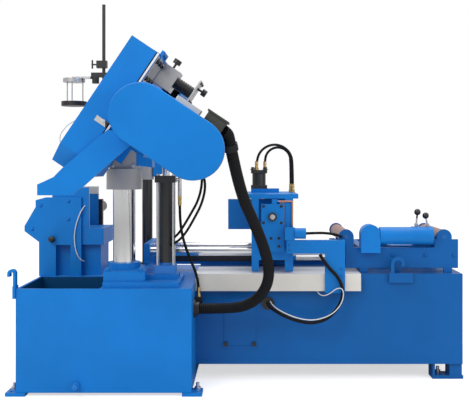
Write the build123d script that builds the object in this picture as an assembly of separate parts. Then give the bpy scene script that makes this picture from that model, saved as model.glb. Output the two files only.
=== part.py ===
from build123d import *
import math
import os

# Column band saw, millimetres, +Z up. X runs along the stock, Y along the saw band, away from the front.

# Overall ends of the machine, which set the origin at the middle of its footprint
LEFT_END = -1136
RIGHT_END = 1040
FRONT_END = -585
BACK_END = 1385

# Clearances
RUN_GAP = 0.05
SLIDE_GAP = 0.4
FREE_GAP = 3

# Main base and chip tank
BASE_X = (-1055, -263)
BASE_Y = (0, 900)
BASE_Z = (16, 484)
BASE_WALL = 12
TANK_X_END = -680
TANK_Y_END = 420
TANK_FLOOR = 160
FOOT_SIZE = 90
FOOT_OUT = 47
FOOT_THICK = 16
BOLT_D = 16

# Column, far guide post and lift cylinder
COLUMN_X = -594
COLUMN_Y = 180
COLUMN_D = 105
COLUMN_TOP = 1120
PEDESTAL_TOP = 556
BOSS_D = 152
BOSS_TOP = 586
POST_X = -560
POST_Y = 765
POST_D = 56
LIFT_X = -397
LIFT_BARREL_D = 60
LIFT_BARREL_Z = (541, 992)
LIFT_ROD_D = 35
LIFT_ROD_TOP = 1334
LIFT_ROD_IN = 110
TIE_ROD_D = 9
TIE_ROD_OFFSET = 37
CAP_SIZE = 96
CAP_THICK = 32

# Saw head: the wheel plane leans, its own axes are n (wheel axle), y and u (up the slope)
HEAD_SLOPE = 56.2
WHEEL_X = -571
WHEEL_Z = 1271
WHEEL_R = 250
WHEEL_WIDTH = 38
NEAR_WHEEL_Y = -190
WHEEL_SPAN = 1280
AXLE_D = 60
COVER_N = (-60, 60)
COVER_U = (-292, 290)
COVER_OUT = 295
COVER_IN = 275
COVER_WALL = 4
COVER_CHAMFER = (50, 80)
PLATE_THICK = 10
BEAM_N = (76, 106)
BEAM_U = (-20, 120)
GUIDE_BEAM_N = (-110, -70)
GUIDE_BEAM_U = (-200, -120)
BULKHEAD = 8
BAND_WIDTH = 34
BAND_THICK = 1.1
SLEEVE_D = 166
SLEEVE_Z = (928, 1024)
SLEEVE_TOP = 1132
SLEEVE_BLOCK = 120
HEIGHT_ROD_D = 16
HEIGHT_ROD_TOP = 1824
ROD_PLACE_Y = 300
LAMP_D = 122
LAMP_STAY_R = 44
POST_SLEEVE_D = 72
POST_SLEEVE_Z = (965, 1090)

# Drive: gearbox, motor and belt guard, places on the n and u axes
WORM_N = 150
WORM_U = 55
MOTOR_N = 389.5
MOTOR_D = 190
MOTOR_Y = (-484, -190)
GUARD_R = 120
GUARD_BACK = -504
GUARD_WALL = 3
DRIVE_PLATE = 12
PULLEY_D = 130
PULLEY_WIDTH = 50
BELT_THICK = 6
BELT_GAP = 0.3
SHAFT_D = 30
SHAFT_HOUSING_D = 90

# Main vise and exit table, table height is where the stock lies
TABLE_Z = 722
PANEL_Y = (430, 445)
BED_X = (-1030, -740)
BED_Y = (445, 720)
JAW_X = (-1000, -815)
JAW_TOP = 930
STOCK_Y = (465, 695)

# Feed base and carriage
FEED_X = (-263, 1033)
FEED_Y = (285, 850)
FEED_Z = (76, 514)
FEED_WALL = 8
TRAY_X = (-262, 533)
TRAY_Y = (240, 526)
TRAY_THICK = 6
TRAY_APRON = 437
BAR_D = 44
BAR_Z = 612
BAR_Y = (400, 640)
BAR_X = (-515, 440)
SUPPORT_Y = (360, 700)
REAR_BEAM_TOP = 566
REAR_BEAM_THICK = 20
CARRIAGE_X = (8, 210)
CARRIAGE_Y = (290, 745)
CARRIAGE_TOP = 901
PAD_BOTTOM = 855
PAD_THICK = 22
LEG_BOTTOM = 526
CYLINDER_D = 62
ROD_D = 30
ACCESS_X = (-126, 29)
ACCESS_Z = (166, 400)
GROMMET = (87, 372)
JAW_ROD = (109, 791)
CLAMP_AT = (47, 580)
FEED_ROD_Z = 566
FEED_ROD_Y = 520

# Roller table
ROLLER_X = (472, 953)
ROLLER_D = 64
ROLLER_Y = (347, 773)
ROLLER_PIN_D = 20
FRAME_X = (469, 1021)
FRAME_Z = (537, 638)
FRAME_Y = (325, 790)
FRAME_THICK = 14

# Cords
CONDUIT_D = 50
CONDUIT_BORE = 40
CONDUIT_RIBS = 80
GLAND_D = 60
GLAND_LENGTH = 30
GLAND_SEAT_X = -145
CABLE_D = 16
HOSE_D = 13
HOSE_PORT_Z = 415
TANK_HOOK_R = 19
FEED_HOOK_R = 34
HOOK_TIP = 14
STOP_HOSE_Y = 240
STOP_HOSE_Z = 714

CONDUIT_ROUTE = ((-76, -330, 1100), (-42, -250, 928), (17, -170, 796), (70, -80, 658), (90, 0, 542),
                 (59, 60, 450), (-14, 110, 388), (-105, 150, 369), (-237, 150, 369))
CABLE_ROUTE = ((87, 272.9, 372), (87, 236, 372), (96, 205, 367), (122, 178, 352), (165, 165, 330),
               (225, 170, 306), (300, 188, 292), (375, 204, 312), (433, 210, 380), (445, 212, 452),
               (418, 213, 512), (376, 214, 552), (348, 221, 590), (336, 236, 612))
LIFT_HOSE_ROUTE = ((-332, 180, 894.7), (-332, 180, 815), (-326, 184, 735), (-308, 192, 660), (-282, 202, 590),
                   (-258, 212, 530), (-245, 218, 470), (-245, 218, HOSE_PORT_Z + 0.3))
STOP_HOSE_ROUTE = ((268.3, STOP_HOSE_Y, STOP_HOSE_Z), (310, STOP_HOSE_Y, STOP_HOSE_Z + 2), (362, 244, 716),
                   (410, 256, 708), (436, 274, 698), (447, 298, 692), (447, 324.7, 692))
CLAMP_HOSE_ROUTES = (
    ((34, 552, 1018.3), (34, 552, 1058), (46.6, 553, 1105), (81, 554, 1139), (128, 555, 1152),
     (175, 554, 1139), (209.4, 553, 1105), (222, 552, 1058), (222, 552, 901.3)),
    ((78, 602, 1018.3), (78, 602, 1070), (87, 603, 1104), (112, 604, 1129), (146, 604, 1138),
     (180, 604, 1129), (205, 603, 1104), (214, 602, 1070), (214, 602, 901.3)))

SHIFT = Vector(-(LEFT_END + RIGHT_END) / 2, -(FRONT_END + BACK_END) / 2, 0)
SLOPE = math.radians(HEAD_SLOPE)
UP_SLOPE = Vector(math.cos(SLOPE), 0, math.sin(SLOPE))
AXLE = Vector(math.sin(SLOPE), 0, -math.cos(SLOPE))
HEAD_PLANE = Plane(origin=(WHEEL_X, 0, WHEEL_Z), x_dir=AXLE, z_dir=UP_SLOPE)
FAR_WHEEL_Y = NEAR_WHEEL_Y + WHEEL_SPAN


def block(x, y, z):
    """A box between the low and high value of each axis."""
    place = Pos((x[0] + x[1]) / 2, (y[0] + y[1]) / 2, (z[0] + z[1]) / 2)
    return place * Box(x[1] - x[0], y[1] - y[0], z[1] - z[0])


def rod(start, end, diameter):
    """A round bar from start to end."""
    way = Vector(*end) - Vector(*start)
    return Solid.make_cylinder(diameter / 2, way.length, Plane(origin=start, z_dir=way))


def tube(start, end, outer, inner):
    """A round tube from start to end, open at both ends."""
    way = (Vector(*end) - Vector(*start)).normalized()
    return rod(start, end, outer) - rod(Vector(*start) - way, Vector(*end) + way, inner)


def sheet(points, y):
    """A flat plate with an outline in X and Z, between two Y values."""
    plane = Plane(origin=(0, y[0], 0), x_dir=(1, 0, 0), z_dir=(0, -1, 0))
    return extrude(plane * make_face(Polyline(*points, close=True)), -(y[1] - y[0]))


def on_head(shape):
    """Turn a shape drawn on the n, y and u axes into the leaning wheel plane."""
    return shape.moved(HEAD_PLANE.location)


def head_point(n, y, u):
    """The place of a point that is given on the n, y and u axes."""
    return HEAD_PLANE.from_local_coords(Vector(n, y, u))


NODES = {}


def save(name, *solids):
    """Add solids to a node, moved so that the origin is the middle of the footprint."""
    for shape in solids:
        NODES.setdefault(name, []).extend(solid.moved(Location(SHIFT)) for solid in shape.solids())


def write_nodes():
    """Write each node as one file."""
    for name, solids in NODES.items():
        export_step(solids[0] if len(solids) == 1 else Compound(children=solids), f"parts/{name}.step")


def cord_path(points):
    """A path of straight runs joined by tangent arcs as large as the runs allow."""
    spots = [Vector(*point) for point in points]
    radii = []
    for before, corner, after in zip(spots, spots[1:], spots[2:]):
        turn = math.radians((corner - before).get_angle(after - corner))
        shorter = min((corner - before).length, (after - corner).length)
        radii.append(0.49 * shorter / math.tan(turn / 2))
    path = FilletPolyline(*spots, radius=radii)
    return path, radii


def cord(name, points, diameter):
    """A round cord along hand-chosen points, with its radii and volume printed."""
    path, radii = cord_path(points)
    section = Plane(origin=path @ 0, z_dir=path % 0) * Circle(diameter / 2)
    solid = sweep(section, path=path)
    ideal = math.pi * diameter ** 2 / 4 * path.length
    print(name, "radii", [round(radius) for radius in radii], "volume", round(solid.volume / ideal, 3))
    return solid


# Base
def make_main_base():
    shell = block(BASE_X, BASE_Y, BASE_Z)
    tank_x = (BASE_X[0] + BASE_WALL, TANK_X_END)
    tank_y = (BASE_Y[0] + BASE_WALL, TANK_Y_END)
    shell -= block(tank_x, tank_y, (TANK_FLOOR, BASE_Z[1] + 1))
    room_x = (TANK_X_END + BASE_WALL, BASE_X[1] - BASE_WALL)
    room_y = (BASE_Y[0] + BASE_WALL, BASE_Y[1] + 1)
    shell -= block(room_x, room_y, (BASE_Z[0] + BASE_WALL, BASE_Z[1] - BASE_WALL))
    save("main_base", shell)
    room_z = (BASE_Z[0] + BASE_WALL, BASE_Z[1] - BASE_WALL)
    cover = block((room_x[0] - 20, room_x[1]), (BASE_Y[1], BASE_Y[1] + 3), (room_z[0], room_z[1] + 6))
    save("access_panels", cover)
    unit_x = (room_x[0] + 40, room_x[1] - 60)
    unit = block(unit_x, (450, 820), (room_z[0], room_z[0] + 240))
    middle = ((unit_x[0] + unit_x[1]) / 2, 635)
    unit += rod((*middle, room_z[0] + 239), (*middle, room_z[1] - 30), 140)
    save("hydraulic_cylinders", unit)


def make_feet():
    feet = []
    bolts = []
    out = FOOT_SIZE - FOOT_OUT
    corners = []
    for y in (BASE_Y[0] + 40, BASE_Y[1] - 60):
        corners.append((BASE_X[0] - FOOT_OUT, BASE_X[0] + out, y, BASE_Z[0]))
        corners.append((BASE_X[1] - out, BASE_X[1] + FOOT_OUT, y, BASE_Z[0]))
    for y in (FEED_Y[0] + 60, FEED_Y[1] - 60):
        corners.append((RIGHT_END - FOOT_SIZE - 60, RIGHT_END, y, FEED_Z[0]))
    for x0, x1, y, top in corners:
        outside = x0 + FOOT_OUT / 2 if x0 < BASE_X[0] else x1 - FOOT_OUT / 2
        foot = block((x0, x1), (y - FOOT_SIZE / 2, y + FOOT_SIZE / 2), (0, FOOT_THICK))
        if top > FOOT_THICK:
            leg = block((x0, FEED_X[1]), (y - FOOT_SIZE / 2, y + FOOT_SIZE / 2), (FOOT_THICK, top))
            foot += leg - block((x0 + 12, FEED_X[1] - 60), (y - FOOT_SIZE, y + FOOT_SIZE), (FOOT_THICK, top))
            outside = x0 + 40
        anchor_y = y - FOOT_SIZE / 4
        screw_y = y + FOOT_SIZE / 4
        foot -= rod((outside, anchor_y, -1), (outside, anchor_y, FOOT_THICK + 1), BOLT_D + 2)
        feet.append(foot)
        bolt = rod((outside, screw_y, FOOT_THICK), (outside, screw_y, FOOT_THICK + 30), BOLT_D)
        bolt += rod((outside, screw_y, FOOT_THICK), (outside, screw_y, FOOT_THICK + 12), 28)
        bolts.append(bolt)
    save("feet_and_hooks", *feet)
    save("steel_fasteners", *bolts)


def bent_hook(middle, y, radii, shank_side):
    """The half ring of a hook and its short tip, on the side away from the shank."""
    x, z = middle
    outer, inner = radii
    bend = tube((x, y[0], z), (x, y[1], z), 2 * outer, 2 * inner)
    bend -= block((x - outer - 1, x + outer + 1), (y[0] - 1, y[1] + 1), (z - outer - 1, z))
    tip = sorted((x - shank_side * outer, x - shank_side * inner))
    return bend + block(tip, y, (z - HOOK_TIP, z))


def make_base_fittings():
    plug_x = -782
    plug = rod((plug_x, 0, 50), (plug_x, -20, 50), 34) + rod((plug_x, -20, 50), (plug_x, -36, 50), 24)
    save("base_fittings", plug)
    tank_bend = (BASE_X[0] - TANK_HOOK_R, 552)
    tank_hook = bent_hook(tank_bend, (0, 30), (TANK_HOOK_R, TANK_HOOK_R - 12), 1)
    tank_hook += block((BASE_X[0] - 12, BASE_X[0]), (-10, 46), (440, 496))
    tank_hook += block((BASE_X[0] - 12, BASE_X[0]), (0, 30), (495, tank_bend[1]))
    feed_bend = (716, 565)
    feed_y = (FEED_Y[0] - 14, FEED_Y[0])
    feed_hook = bent_hook(feed_bend, feed_y, (FEED_HOOK_R, FEED_HOOK_R - 17), -1)
    feed_hook += block((feed_bend[0] - FEED_HOOK_R, feed_bend[0] - FEED_HOOK_R + 17), feed_y, (518, feed_bend[1]))
    feed_hook += block((673, 790), feed_y, (472, 519))
    save("feet_and_hooks", tank_hook, feed_hook)
    coupling_z = 369
    coupling_y = 150
    coupling = tube((BASE_X[1], coupling_y, coupling_z), (BASE_X[1] + 26, coupling_y, coupling_z), 64, 52)
    coupling += tube((BASE_X[1], coupling_y, coupling_z), (BASE_X[1] + 8, coupling_y, coupling_z), 84, 52)
    port = block((BASE_X[1], BASE_X[1] + 36), (202, 234), (385, HOSE_PORT_Z))
    save("base_fittings", coupling, port)


def make_columns():
    front = 30
    pedestal = block((-670, -322), (front, 330), (BASE_Z[1], 509))
    pedestal += block((-670, -480), (front + 20, 320), (509, PEDESTAL_TOP))
    pedestal += block((-480, -335), (COLUMN_Y - 62, COLUMN_Y + 62), (509, LIFT_BARREL_Z[0] - 8))
    pedestal += rod((COLUMN_X, COLUMN_Y, PEDESTAL_TOP), (COLUMN_X, COLUMN_Y, BOSS_TOP), BOSS_D)
    pedestal -= rod((COLUMN_X, COLUMN_Y, BASE_Z[1] + 6), (COLUMN_X, COLUMN_Y, BOSS_TOP + 1), COLUMN_D)
    save("column_pedestal", pedestal)
    column = rod((COLUMN_X, COLUMN_Y, BASE_Z[1] + 6), (COLUMN_X, COLUMN_Y, COLUMN_TOP), COLUMN_D)
    save("main_column", chamfer(column.edges().filter_by(GeomType.CIRCLE), 3))
    post = rod((POST_X, POST_Y, BASE_Z[1]), (POST_X, POST_Y, COLUMN_TOP), POST_D)
    post += rod((POST_X, POST_Y, BASE_Z[1]), (POST_X, POST_Y, BASE_Z[1] + 30), POST_D + 44)
    save("far_guide_post", post)
    low, high = LIFT_BARREL_Z
    at = (LIFT_X, COLUMN_Y)
    barrel = tube((*at, low), (*at, high), LIFT_BARREL_D, LIFT_ROD_D + 2 * RUN_GAP)
    half = CAP_SIZE / 2
    for z in ((low - 8, low + CAP_THICK), (high - CAP_THICK, high)):
        cap = block((at[0] - half, at[0] + half), (at[1] - half, at[1] + half), z)
        barrel += cap - rod((*at, z[0] - 1), (*at, z[1] + 1), LIFT_BARREL_D - 2)
    offsets = [(dx, dy) for dx in (-1, 1) for dy in (-1, 1)]
    ties = []
    for dx, dy in offsets:
        spot = (at[0] + dx * TIE_ROD_OFFSET, at[1] + dy * TIE_ROD_OFFSET)
        barrel -= rod((*spot, low - 9), (*spot, high + 1), TIE_ROD_D)
        ties.append(rod((*spot, low), (*spot, high + 8), TIE_ROD_D))
    save("hydraulic_cylinders", barrel)
    save("steel_fasteners", *ties)


def make_main_vise():
    panel = sheet([(-1080, 866), (-1080, 832), (LEFT_END, 736), (LEFT_END, 710), (-1063, 655), (-1063, BASE_Z[1]),
                   (-978, BASE_Z[1]), (-978, 640), (-905, 640), (-905, BASE_Z[1]), (-850, BASE_Z[1]),
                   (-850, 880), (-1030, 880)], PANEL_Y)
    save("exit_panel", panel)
    bed = block(BED_X, BED_Y, (TABLE_Z - 82, TABLE_Z))
    bed += block((BED_X[0] + 20, BED_X[1] - 20), (BED_Y[0] + 35, BED_Y[1] - 20), (BASE_Z[1], TABLE_Z - 82))
    save("vise_bed", bed)
    save("vise_fixed_jaw", block(JAW_X, (BED_Y[0], STOCK_Y[0]), (TABLE_Z, JAW_TOP)))
    middle = ((JAW_X[0] + JAW_X[1]) / 2 + 70, 815)
    jaw_back = STOCK_Y[1] + 20
    jaw = block(JAW_X, (STOCK_Y[1], jaw_back), (TABLE_Z + SLIDE_GAP, JAW_TOP))
    jaw += rod((middle[0], jaw_back, middle[1]), (middle[0], jaw_back + 180, middle[1]), ROD_D)
    save("vise_moving_jaw", jaw)
    barrel_y = (BED_Y[1] + 10, jaw_back + 200)
    plate_y = (barrel_y[0], barrel_y[0] + 24)
    bore = rod((middle[0], barrel_y[0] - 1, middle[1]), (middle[0], barrel_y[1] - 12, middle[1]),
               ROD_D + 2 * RUN_GAP)
    barrel = rod((middle[0], barrel_y[0], middle[1]), (middle[0], barrel_y[1], middle[1]), CYLINDER_D)
    barrel += block((middle[0] - 40, middle[0] + 40), plate_y, (BASE_Z[1], middle[1] + 45))
    save("hydraulic_cylinders", barrel - bore)


# Saw head
def cover_y(near):
    """The two ends of a wheel cover along the band, the outer end first."""
    if near:
        return NEAR_WHEEL_Y - COVER_OUT, NEAR_WHEEL_Y + COVER_IN
    return FAR_WHEEL_Y + COVER_OUT, FAR_WHEEL_Y - COVER_IN


def make_cover(name, near):
    outer, inner = cover_y(near)
    inward = 1 if near else -1
    wall = COVER_WALL
    plane = Plane(origin=(COVER_N[0], 0, 0), x_dir=(0, 1, 0), z_dir=(1, 0, 0))

    def outline(inset):
        low, high = COVER_U[0] + inset, COVER_U[1] - inset
        start = outer + inward * inset
        return make_face(Polyline((start, low + COVER_CHAMFER[1]), (start, high), (inner, high), (inner, low),
                                  (start + inward * COVER_CHAMFER[0], low), close=True))

    depth = COVER_N[1] - COVER_N[0]
    shell = extrude(plane * outline(0), depth)
    shell -= extrude(plane.offset(wall) * outline(wall), depth)
    end = sorted((inner - inward * wall, inner))
    shell -= block((COVER_N[0] + wall, COVER_N[1] + 1), (inner - 20, inner + 20), (COVER_U[0] + wall, -225))
    shell -= block((COVER_N[0] + wall, COVER_N[1] + 1), (inner - 20, inner + 20), (195, COVER_U[1] - wall))
    shell += block((COVER_N[0] + wall - 1, COVER_N[1]), end, (-225, 195))
    hinge_u = COVER_U[1] + 14
    hinge_n = COVER_N[1] + PLATE_THICK
    knuckle = sorted((outer + inward * 60, outer + inward * 160))
    leaf = block((COVER_N[1] - 30, hinge_n), knuckle, (COVER_U[1], COVER_U[1] + 4))
    barrel = tube((hinge_n, knuckle[0], hinge_u), (hinge_n, knuckle[1], hinge_u), 16, 8 + 2 * RUN_GAP)
    leaf += block((hinge_n - 6, hinge_n - 4), knuckle, (COVER_U[1] + 3, hinge_u))
    shell += leaf + barrel
    shell -= rod((hinge_n, knuckle[0] - 1, hinge_u), (hinge_n, knuckle[1] + 1, hinge_u), 8 + 2 * RUN_GAP)
    save(name, on_head(shell))


def make_latches():
    front = NEAR_WHEEL_Y - COVER_OUT
    latch = block((2, 56), (front - 8, front), (-66, -44)) + block((10, 40), (front - 16, front - 8), (-60, -50))
    far = block((COVER_N[0] - 9, COVER_N[0]), (FAR_WHEEL_Y - 30, FAR_WHEEL_Y + 30), (-12, 12))
    save("near_cover_latch", on_head(latch))
    save("far_wheel_cover", on_head(far))


def make_bow_frame():
    plate_n = (COVER_N[1], COVER_N[1] + PLATE_THICK)
    near = sorted(cover_y(True))
    far = sorted(cover_y(False))
    frame = block(plate_n, near, COVER_U) + block(plate_n, far, COVER_U)
    slot = (FAR_WHEEL_Y - 70, FAR_WHEEL_Y + 70)
    frame -= block((0, 200), slot, (-45, 45))
    frame -= rod((0, NEAR_WHEEL_Y, 0), (200, NEAR_WHEEL_Y, 0), AXLE_D + 2 * RUN_GAP)
    frame += block((plate_n[1], BEAM_N[1]), (NEAR_WHEEL_Y + 130, near[1] + 2), BEAM_U)
    frame += block((plate_n[1], BEAM_N[1]), (far[0] - 2, FAR_WHEEL_Y - 130), BEAM_U)
    frame += block(BEAM_N, (near[1], far[0]), BEAM_U)
    for y in ((near[1] + 2, near[1] + 2 + BULKHEAD), (far[0] - 2 - BULKHEAD, far[0] - 2)):
        frame += block((GUIDE_BEAM_N[0], BEAM_N[1]), y, (GUIDE_BEAM_U[0], BEAM_U[1]))
    frame += block(GUIDE_BEAM_N, (near[1] + 2, far[0] - 2), GUIDE_BEAM_U)
    for y, inward in ((near[0], 1), (far[1], -1)):
        pin = sorted((y + inward * 40, y + inward * 180))
        at = (plate_n[1], COVER_U[1] + 14)
        frame += rod((at[0], pin[0], at[1]), (at[0], pin[1], at[1]), 8)
        for ear in ((pin[0], pin[0] + 15), (pin[1] - 15, pin[1])):
            frame += block((at[0] - 6, at[0] + 6), ear, (COVER_U[1] - 20, COVER_U[1] + 20))
    frame = on_head(frame)
    web = (COLUMN_Y - 50, COLUMN_Y + 50)
    frame += sheet([(-530, 1040), (-456, 1030), (-456, 1095), (-478, 1200), (-490, 1230), (-530, 1225)], web)
    cap_side = LIFT_X - CAP_SIZE / 2 - 2 * FREE_GAP
    notch = CAP_SIZE / 2 + 8
    frame -= block((cap_side, LIFT_X), (COLUMN_Y - notch, COLUMN_Y + notch), (1100, LIFT_ROD_TOP))
    frame += sheet([(-480, 1262), (cap_side, 1310), (cap_side, LIFT_ROD_TOP), (-357, LIFT_ROD_TOP),
                    (-357, LIFT_ROD_TOP + 24), (-490, LIFT_ROD_TOP + 24), (-500, 1300)],
                   (COLUMN_Y - 40, COLUMN_Y + 40))
    post_web = (POST_Y - 30, POST_Y + 30)
    frame += sheet([(POST_X + POST_SLEEVE_D / 2, 980), (-470, 1000), (-478, 1200), (-490, 1230), (-524, 1230)],
                   post_web)
    save("bow_frame", frame)
    sleeve = tube((COLUMN_X, COLUMN_Y, SLEEVE_Z[0]), (COLUMN_X, COLUMN_Y, SLEEVE_Z[1]), SLEEVE_D,
                  COLUMN_D + 2 * RUN_GAP)
    half = SLEEVE_BLOCK / 2
    top = block((COLUMN_X - half, COLUMN_X + half + 4), (COLUMN_Y - half, COLUMN_Y + half),
                (SLEEVE_Z[1], SLEEVE_TOP))
    top -= rod((COLUMN_X, COLUMN_Y, SLEEVE_Z[1]), (COLUMN_X, COLUMN_Y, SLEEVE_TOP), COLUMN_D + 2 * RUN_GAP)
    save("head_sleeves", sleeve + top)
    save("head_sleeves", tube((POST_X, POST_Y, POST_SLEEVE_Z[0]), (POST_X, POST_Y, POST_SLEEVE_Z[1]),
                             POST_SLEEVE_D, POST_D + 2 * RUN_GAP))
    save("lift_rod", rod((LIFT_X, COLUMN_Y, LIFT_BARREL_Z[1] - LIFT_ROD_IN), (LIFT_X, COLUMN_Y, LIFT_ROD_TOP),
                         LIFT_ROD_D))


def make_wheel(y, axle_end):
    """A spoked band wheel with its axle along n."""
    half = WHEEL_WIDTH / 2
    wheel = tube((-half, y, 0), (half, y, 0), 2 * WHEEL_R, 2 * WHEEL_R - 50)
    wheel += tube((-half - 6, y, 0), (half + 6, y, 0), 110, AXLE_D - 10)
    web = tube((-7, y, 0), (7, y, 0), 2 * WHEEL_R - 48, 108)
    for step in range(5):
        angle = step * math.tau / 5
        hole = (y + 150 * math.cos(angle), 150 * math.sin(angle))
        web -= rod((-20, *hole), (20, *hole), 100)
    wheel += web + rod((-half - 10, y, 0), (axle_end, y, 0), AXLE_D)
    return on_head(wheel)


def make_band():
    reach = WHEEL_R + SLIDE_GAP
    half = BAND_WIDTH / 2
    plane = Plane(origin=(-half, 0, 0), x_dir=(0, 1, 0), z_dir=(1, 0, 0))
    middle = (NEAR_WHEEL_Y + FAR_WHEEL_Y) / 2

    def loop(radius):
        return plane * (Pos(middle, 0) * SlotCenterToCenter(WHEEL_SPAN, 2 * radius))

    band = extrude(loop(reach + BAND_THICK), BAND_WIDTH) - extrude(loop(reach), BAND_WIDTH)
    save("saw_band", on_head(band))


def make_guides():
    bottom = GUIDE_BEAM_U[0]
    band_u = -(WHEEL_R + SLIDE_GAP)
    for name, y in (("front_arm", (110, 170)), ("far_guide_arm", (660, 720))):
        gap = SLIDE_GAP
        clamp = block((GUIDE_BEAM_N[0] - 16, GUIDE_BEAM_N[1] + 16), y, (bottom - 16, GUIDE_BEAM_U[1] + 16))
        clamp -= block((GUIDE_BEAM_N[0] - gap, GUIDE_BEAM_N[1] + gap), (y[0] - 1, y[1] + 1),
                       (bottom - gap, GUIDE_BEAM_U[1] + gap))
        arm = block((GUIDE_BEAM_N[1] - 20, 30), y, (band_u + 4, bottom - 16))
        arm += block((-30, 30), y, (band_u - 14, band_u + 5))
        arm -= block((-31, BAND_WIDTH / 2 + 1), (y[0] - 1, y[1] + 1),
                     (band_u - BAND_THICK - 1, band_u + 1))
        save(name, on_head(clamp + arm))


def make_drive():
    front = GUARD_BACK + 4
    housing = block((COVER_N[1] + PLATE_THICK, 215), (NEAR_WHEEL_Y - 95, NEAR_WHEEL_Y + 95), (-95, 110))
    housing += rod((WORM_N, NEAR_WHEEL_Y - 94, WORM_U), (WORM_N, front + DRIVE_PLATE, WORM_U), SHAFT_HOUSING_D)
    housing -= rod((WORM_N, NEAR_WHEEL_Y + 20, WORM_U), (WORM_N, front - 1, WORM_U), SHAFT_D + 2 * RUN_GAP)
    housing -= rod((0, NEAR_WHEEL_Y, 0), (200, NEAR_WHEEL_Y, 0), AXLE_D + 2 * RUN_GAP)
    save("gearbox", on_head(housing))
    plane = Plane(origin=(0, front, 0), x_dir=(1, 0, 0), z_dir=(0, -1, 0))
    span = MOTOR_N - WORM_N
    middle = Pos((WORM_N + MOTOR_N) / 2, WORM_U)
    plate = extrude(plane * (middle * SlotCenterToCenter(span, 2 * GUARD_R - 12)), -DRIVE_PLATE)
    for n in (WORM_N, MOTOR_N):
        plate -= rod((n, front - 1, WORM_U), (n, front + DRIVE_PLATE + 1, WORM_U), SHAFT_D + 10)
    save("drive_plate", on_head(plate))
    outer = Plane(origin=(0, FRONT_END, 0), x_dir=(1, 0, 0), z_dir=(0, -1, 0))
    depth = front - FRONT_END
    guard = extrude(outer * (middle * SlotCenterToCenter(span, 2 * GUARD_R)), -depth)
    guard = fillet(guard.edges().group_by(Axis.Y)[0], 6)
    inner = outer.offset(-GUARD_WALL)
    guard -= extrude(inner * (middle * SlotCenterToCenter(span, 2 * (GUARD_R - GUARD_WALL))), -depth)
    save("belt_guard", on_head(guard))
    pulley_y = (FRONT_END + 14, FRONT_END + 14 + PULLEY_WIDTH)
    shaft = rod((WORM_N, pulley_y[0], WORM_U), (WORM_N, NEAR_WHEEL_Y, WORM_U), SHAFT_D)
    pulley = rod((WORM_N, pulley_y[0], WORM_U), (WORM_N, pulley_y[1], WORM_U), PULLEY_D)
    save("gearbox_pulley", on_head(shaft + pulley))
    motor_front, motor_back = MOTOR_Y
    motor_shaft = rod((MOTOR_N, pulley_y[0], WORM_U), (MOTOR_N, motor_front + 60, WORM_U), SHAFT_D)
    motor_pulley = rod((MOTOR_N, pulley_y[0], WORM_U), (MOTOR_N, pulley_y[1], WORM_U), PULLEY_D)
    save("motor_pulley", on_head(motor_shaft + motor_pulley))
    outside = PULLEY_D / 2 + BELT_GAP + BELT_THICK
    path_y = (pulley_y[0] + 6, pulley_y[1] - 6)
    belt_plane = Plane(origin=(0, path_y[0], 0), x_dir=(1, 0, 0), z_dir=(0, -1, 0))
    belt = extrude(belt_plane * (middle * SlotCenterToCenter(span, 2 * outside)), -(path_y[1] - path_y[0]))
    inside = outside - BELT_THICK
    belt -= extrude(belt_plane * (middle * SlotCenterToCenter(span, 2 * inside)), -(path_y[1] - path_y[0]))
    save("drive_belt", on_head(belt))
    body = rod((MOTOR_N, motor_front + 4, WORM_U), (MOTOR_N, motor_back, WORM_U), MOTOR_D - 24)
    for step in range(24):
        angle = step * math.tau / 24
        fin = block((MOTOR_D / 2 - 14, MOTOR_D / 2), (motor_front + 24, motor_back - 50), (-2, 2))
        fin = fin.rotate(Axis.Y, math.degrees(angle))
        body += fin.moved(Location((MOTOR_N, 0, WORM_U)))
    body += rod((MOTOR_N, motor_back - 50, WORM_U), (MOTOR_N, motor_back + 10, WORM_U), MOTOR_D)
    body += rod((MOTOR_N, front + DRIVE_PLATE, WORM_U), (MOTOR_N, motor_front + 24, WORM_U), MOTOR_D)
    body -= rod((MOTOR_N, front, WORM_U), (MOTOR_N, motor_front + 61, WORM_U), SHAFT_D + 2 * RUN_GAP)
    gland_end = Vector(*CONDUIT_ROUTE[0])
    gland_start = gland_end + (gland_end - Vector(*CONDUIT_ROUTE[1])).normalized() * GLAND_LENGTH
    seat = (gland_start + gland_end) / 2
    boss = rod((GLAND_SEAT_X, seat.Y, seat.Z), (seat.X - GLAND_D / 2 + 4, seat.Y, seat.Z), CONDUIT_BORE)
    save("drive_motor", on_head(body) + boss + tube(gland_start, gland_end, GLAND_D, CONDUIT_BORE))
    box_u = (WORM_U + MOTOR_D / 2, WORM_U + MOTOR_D / 2 + 62)
    terminal = block((MOTOR_N - 40, MOTOR_N + 46), (-440, -340), box_u)
    terminal += block((MOTOR_N - 46, MOTOR_N + 52), (-446, -334), (box_u[1], box_u[1] + 8))
    save("terminal_box", on_head(terminal))


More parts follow.
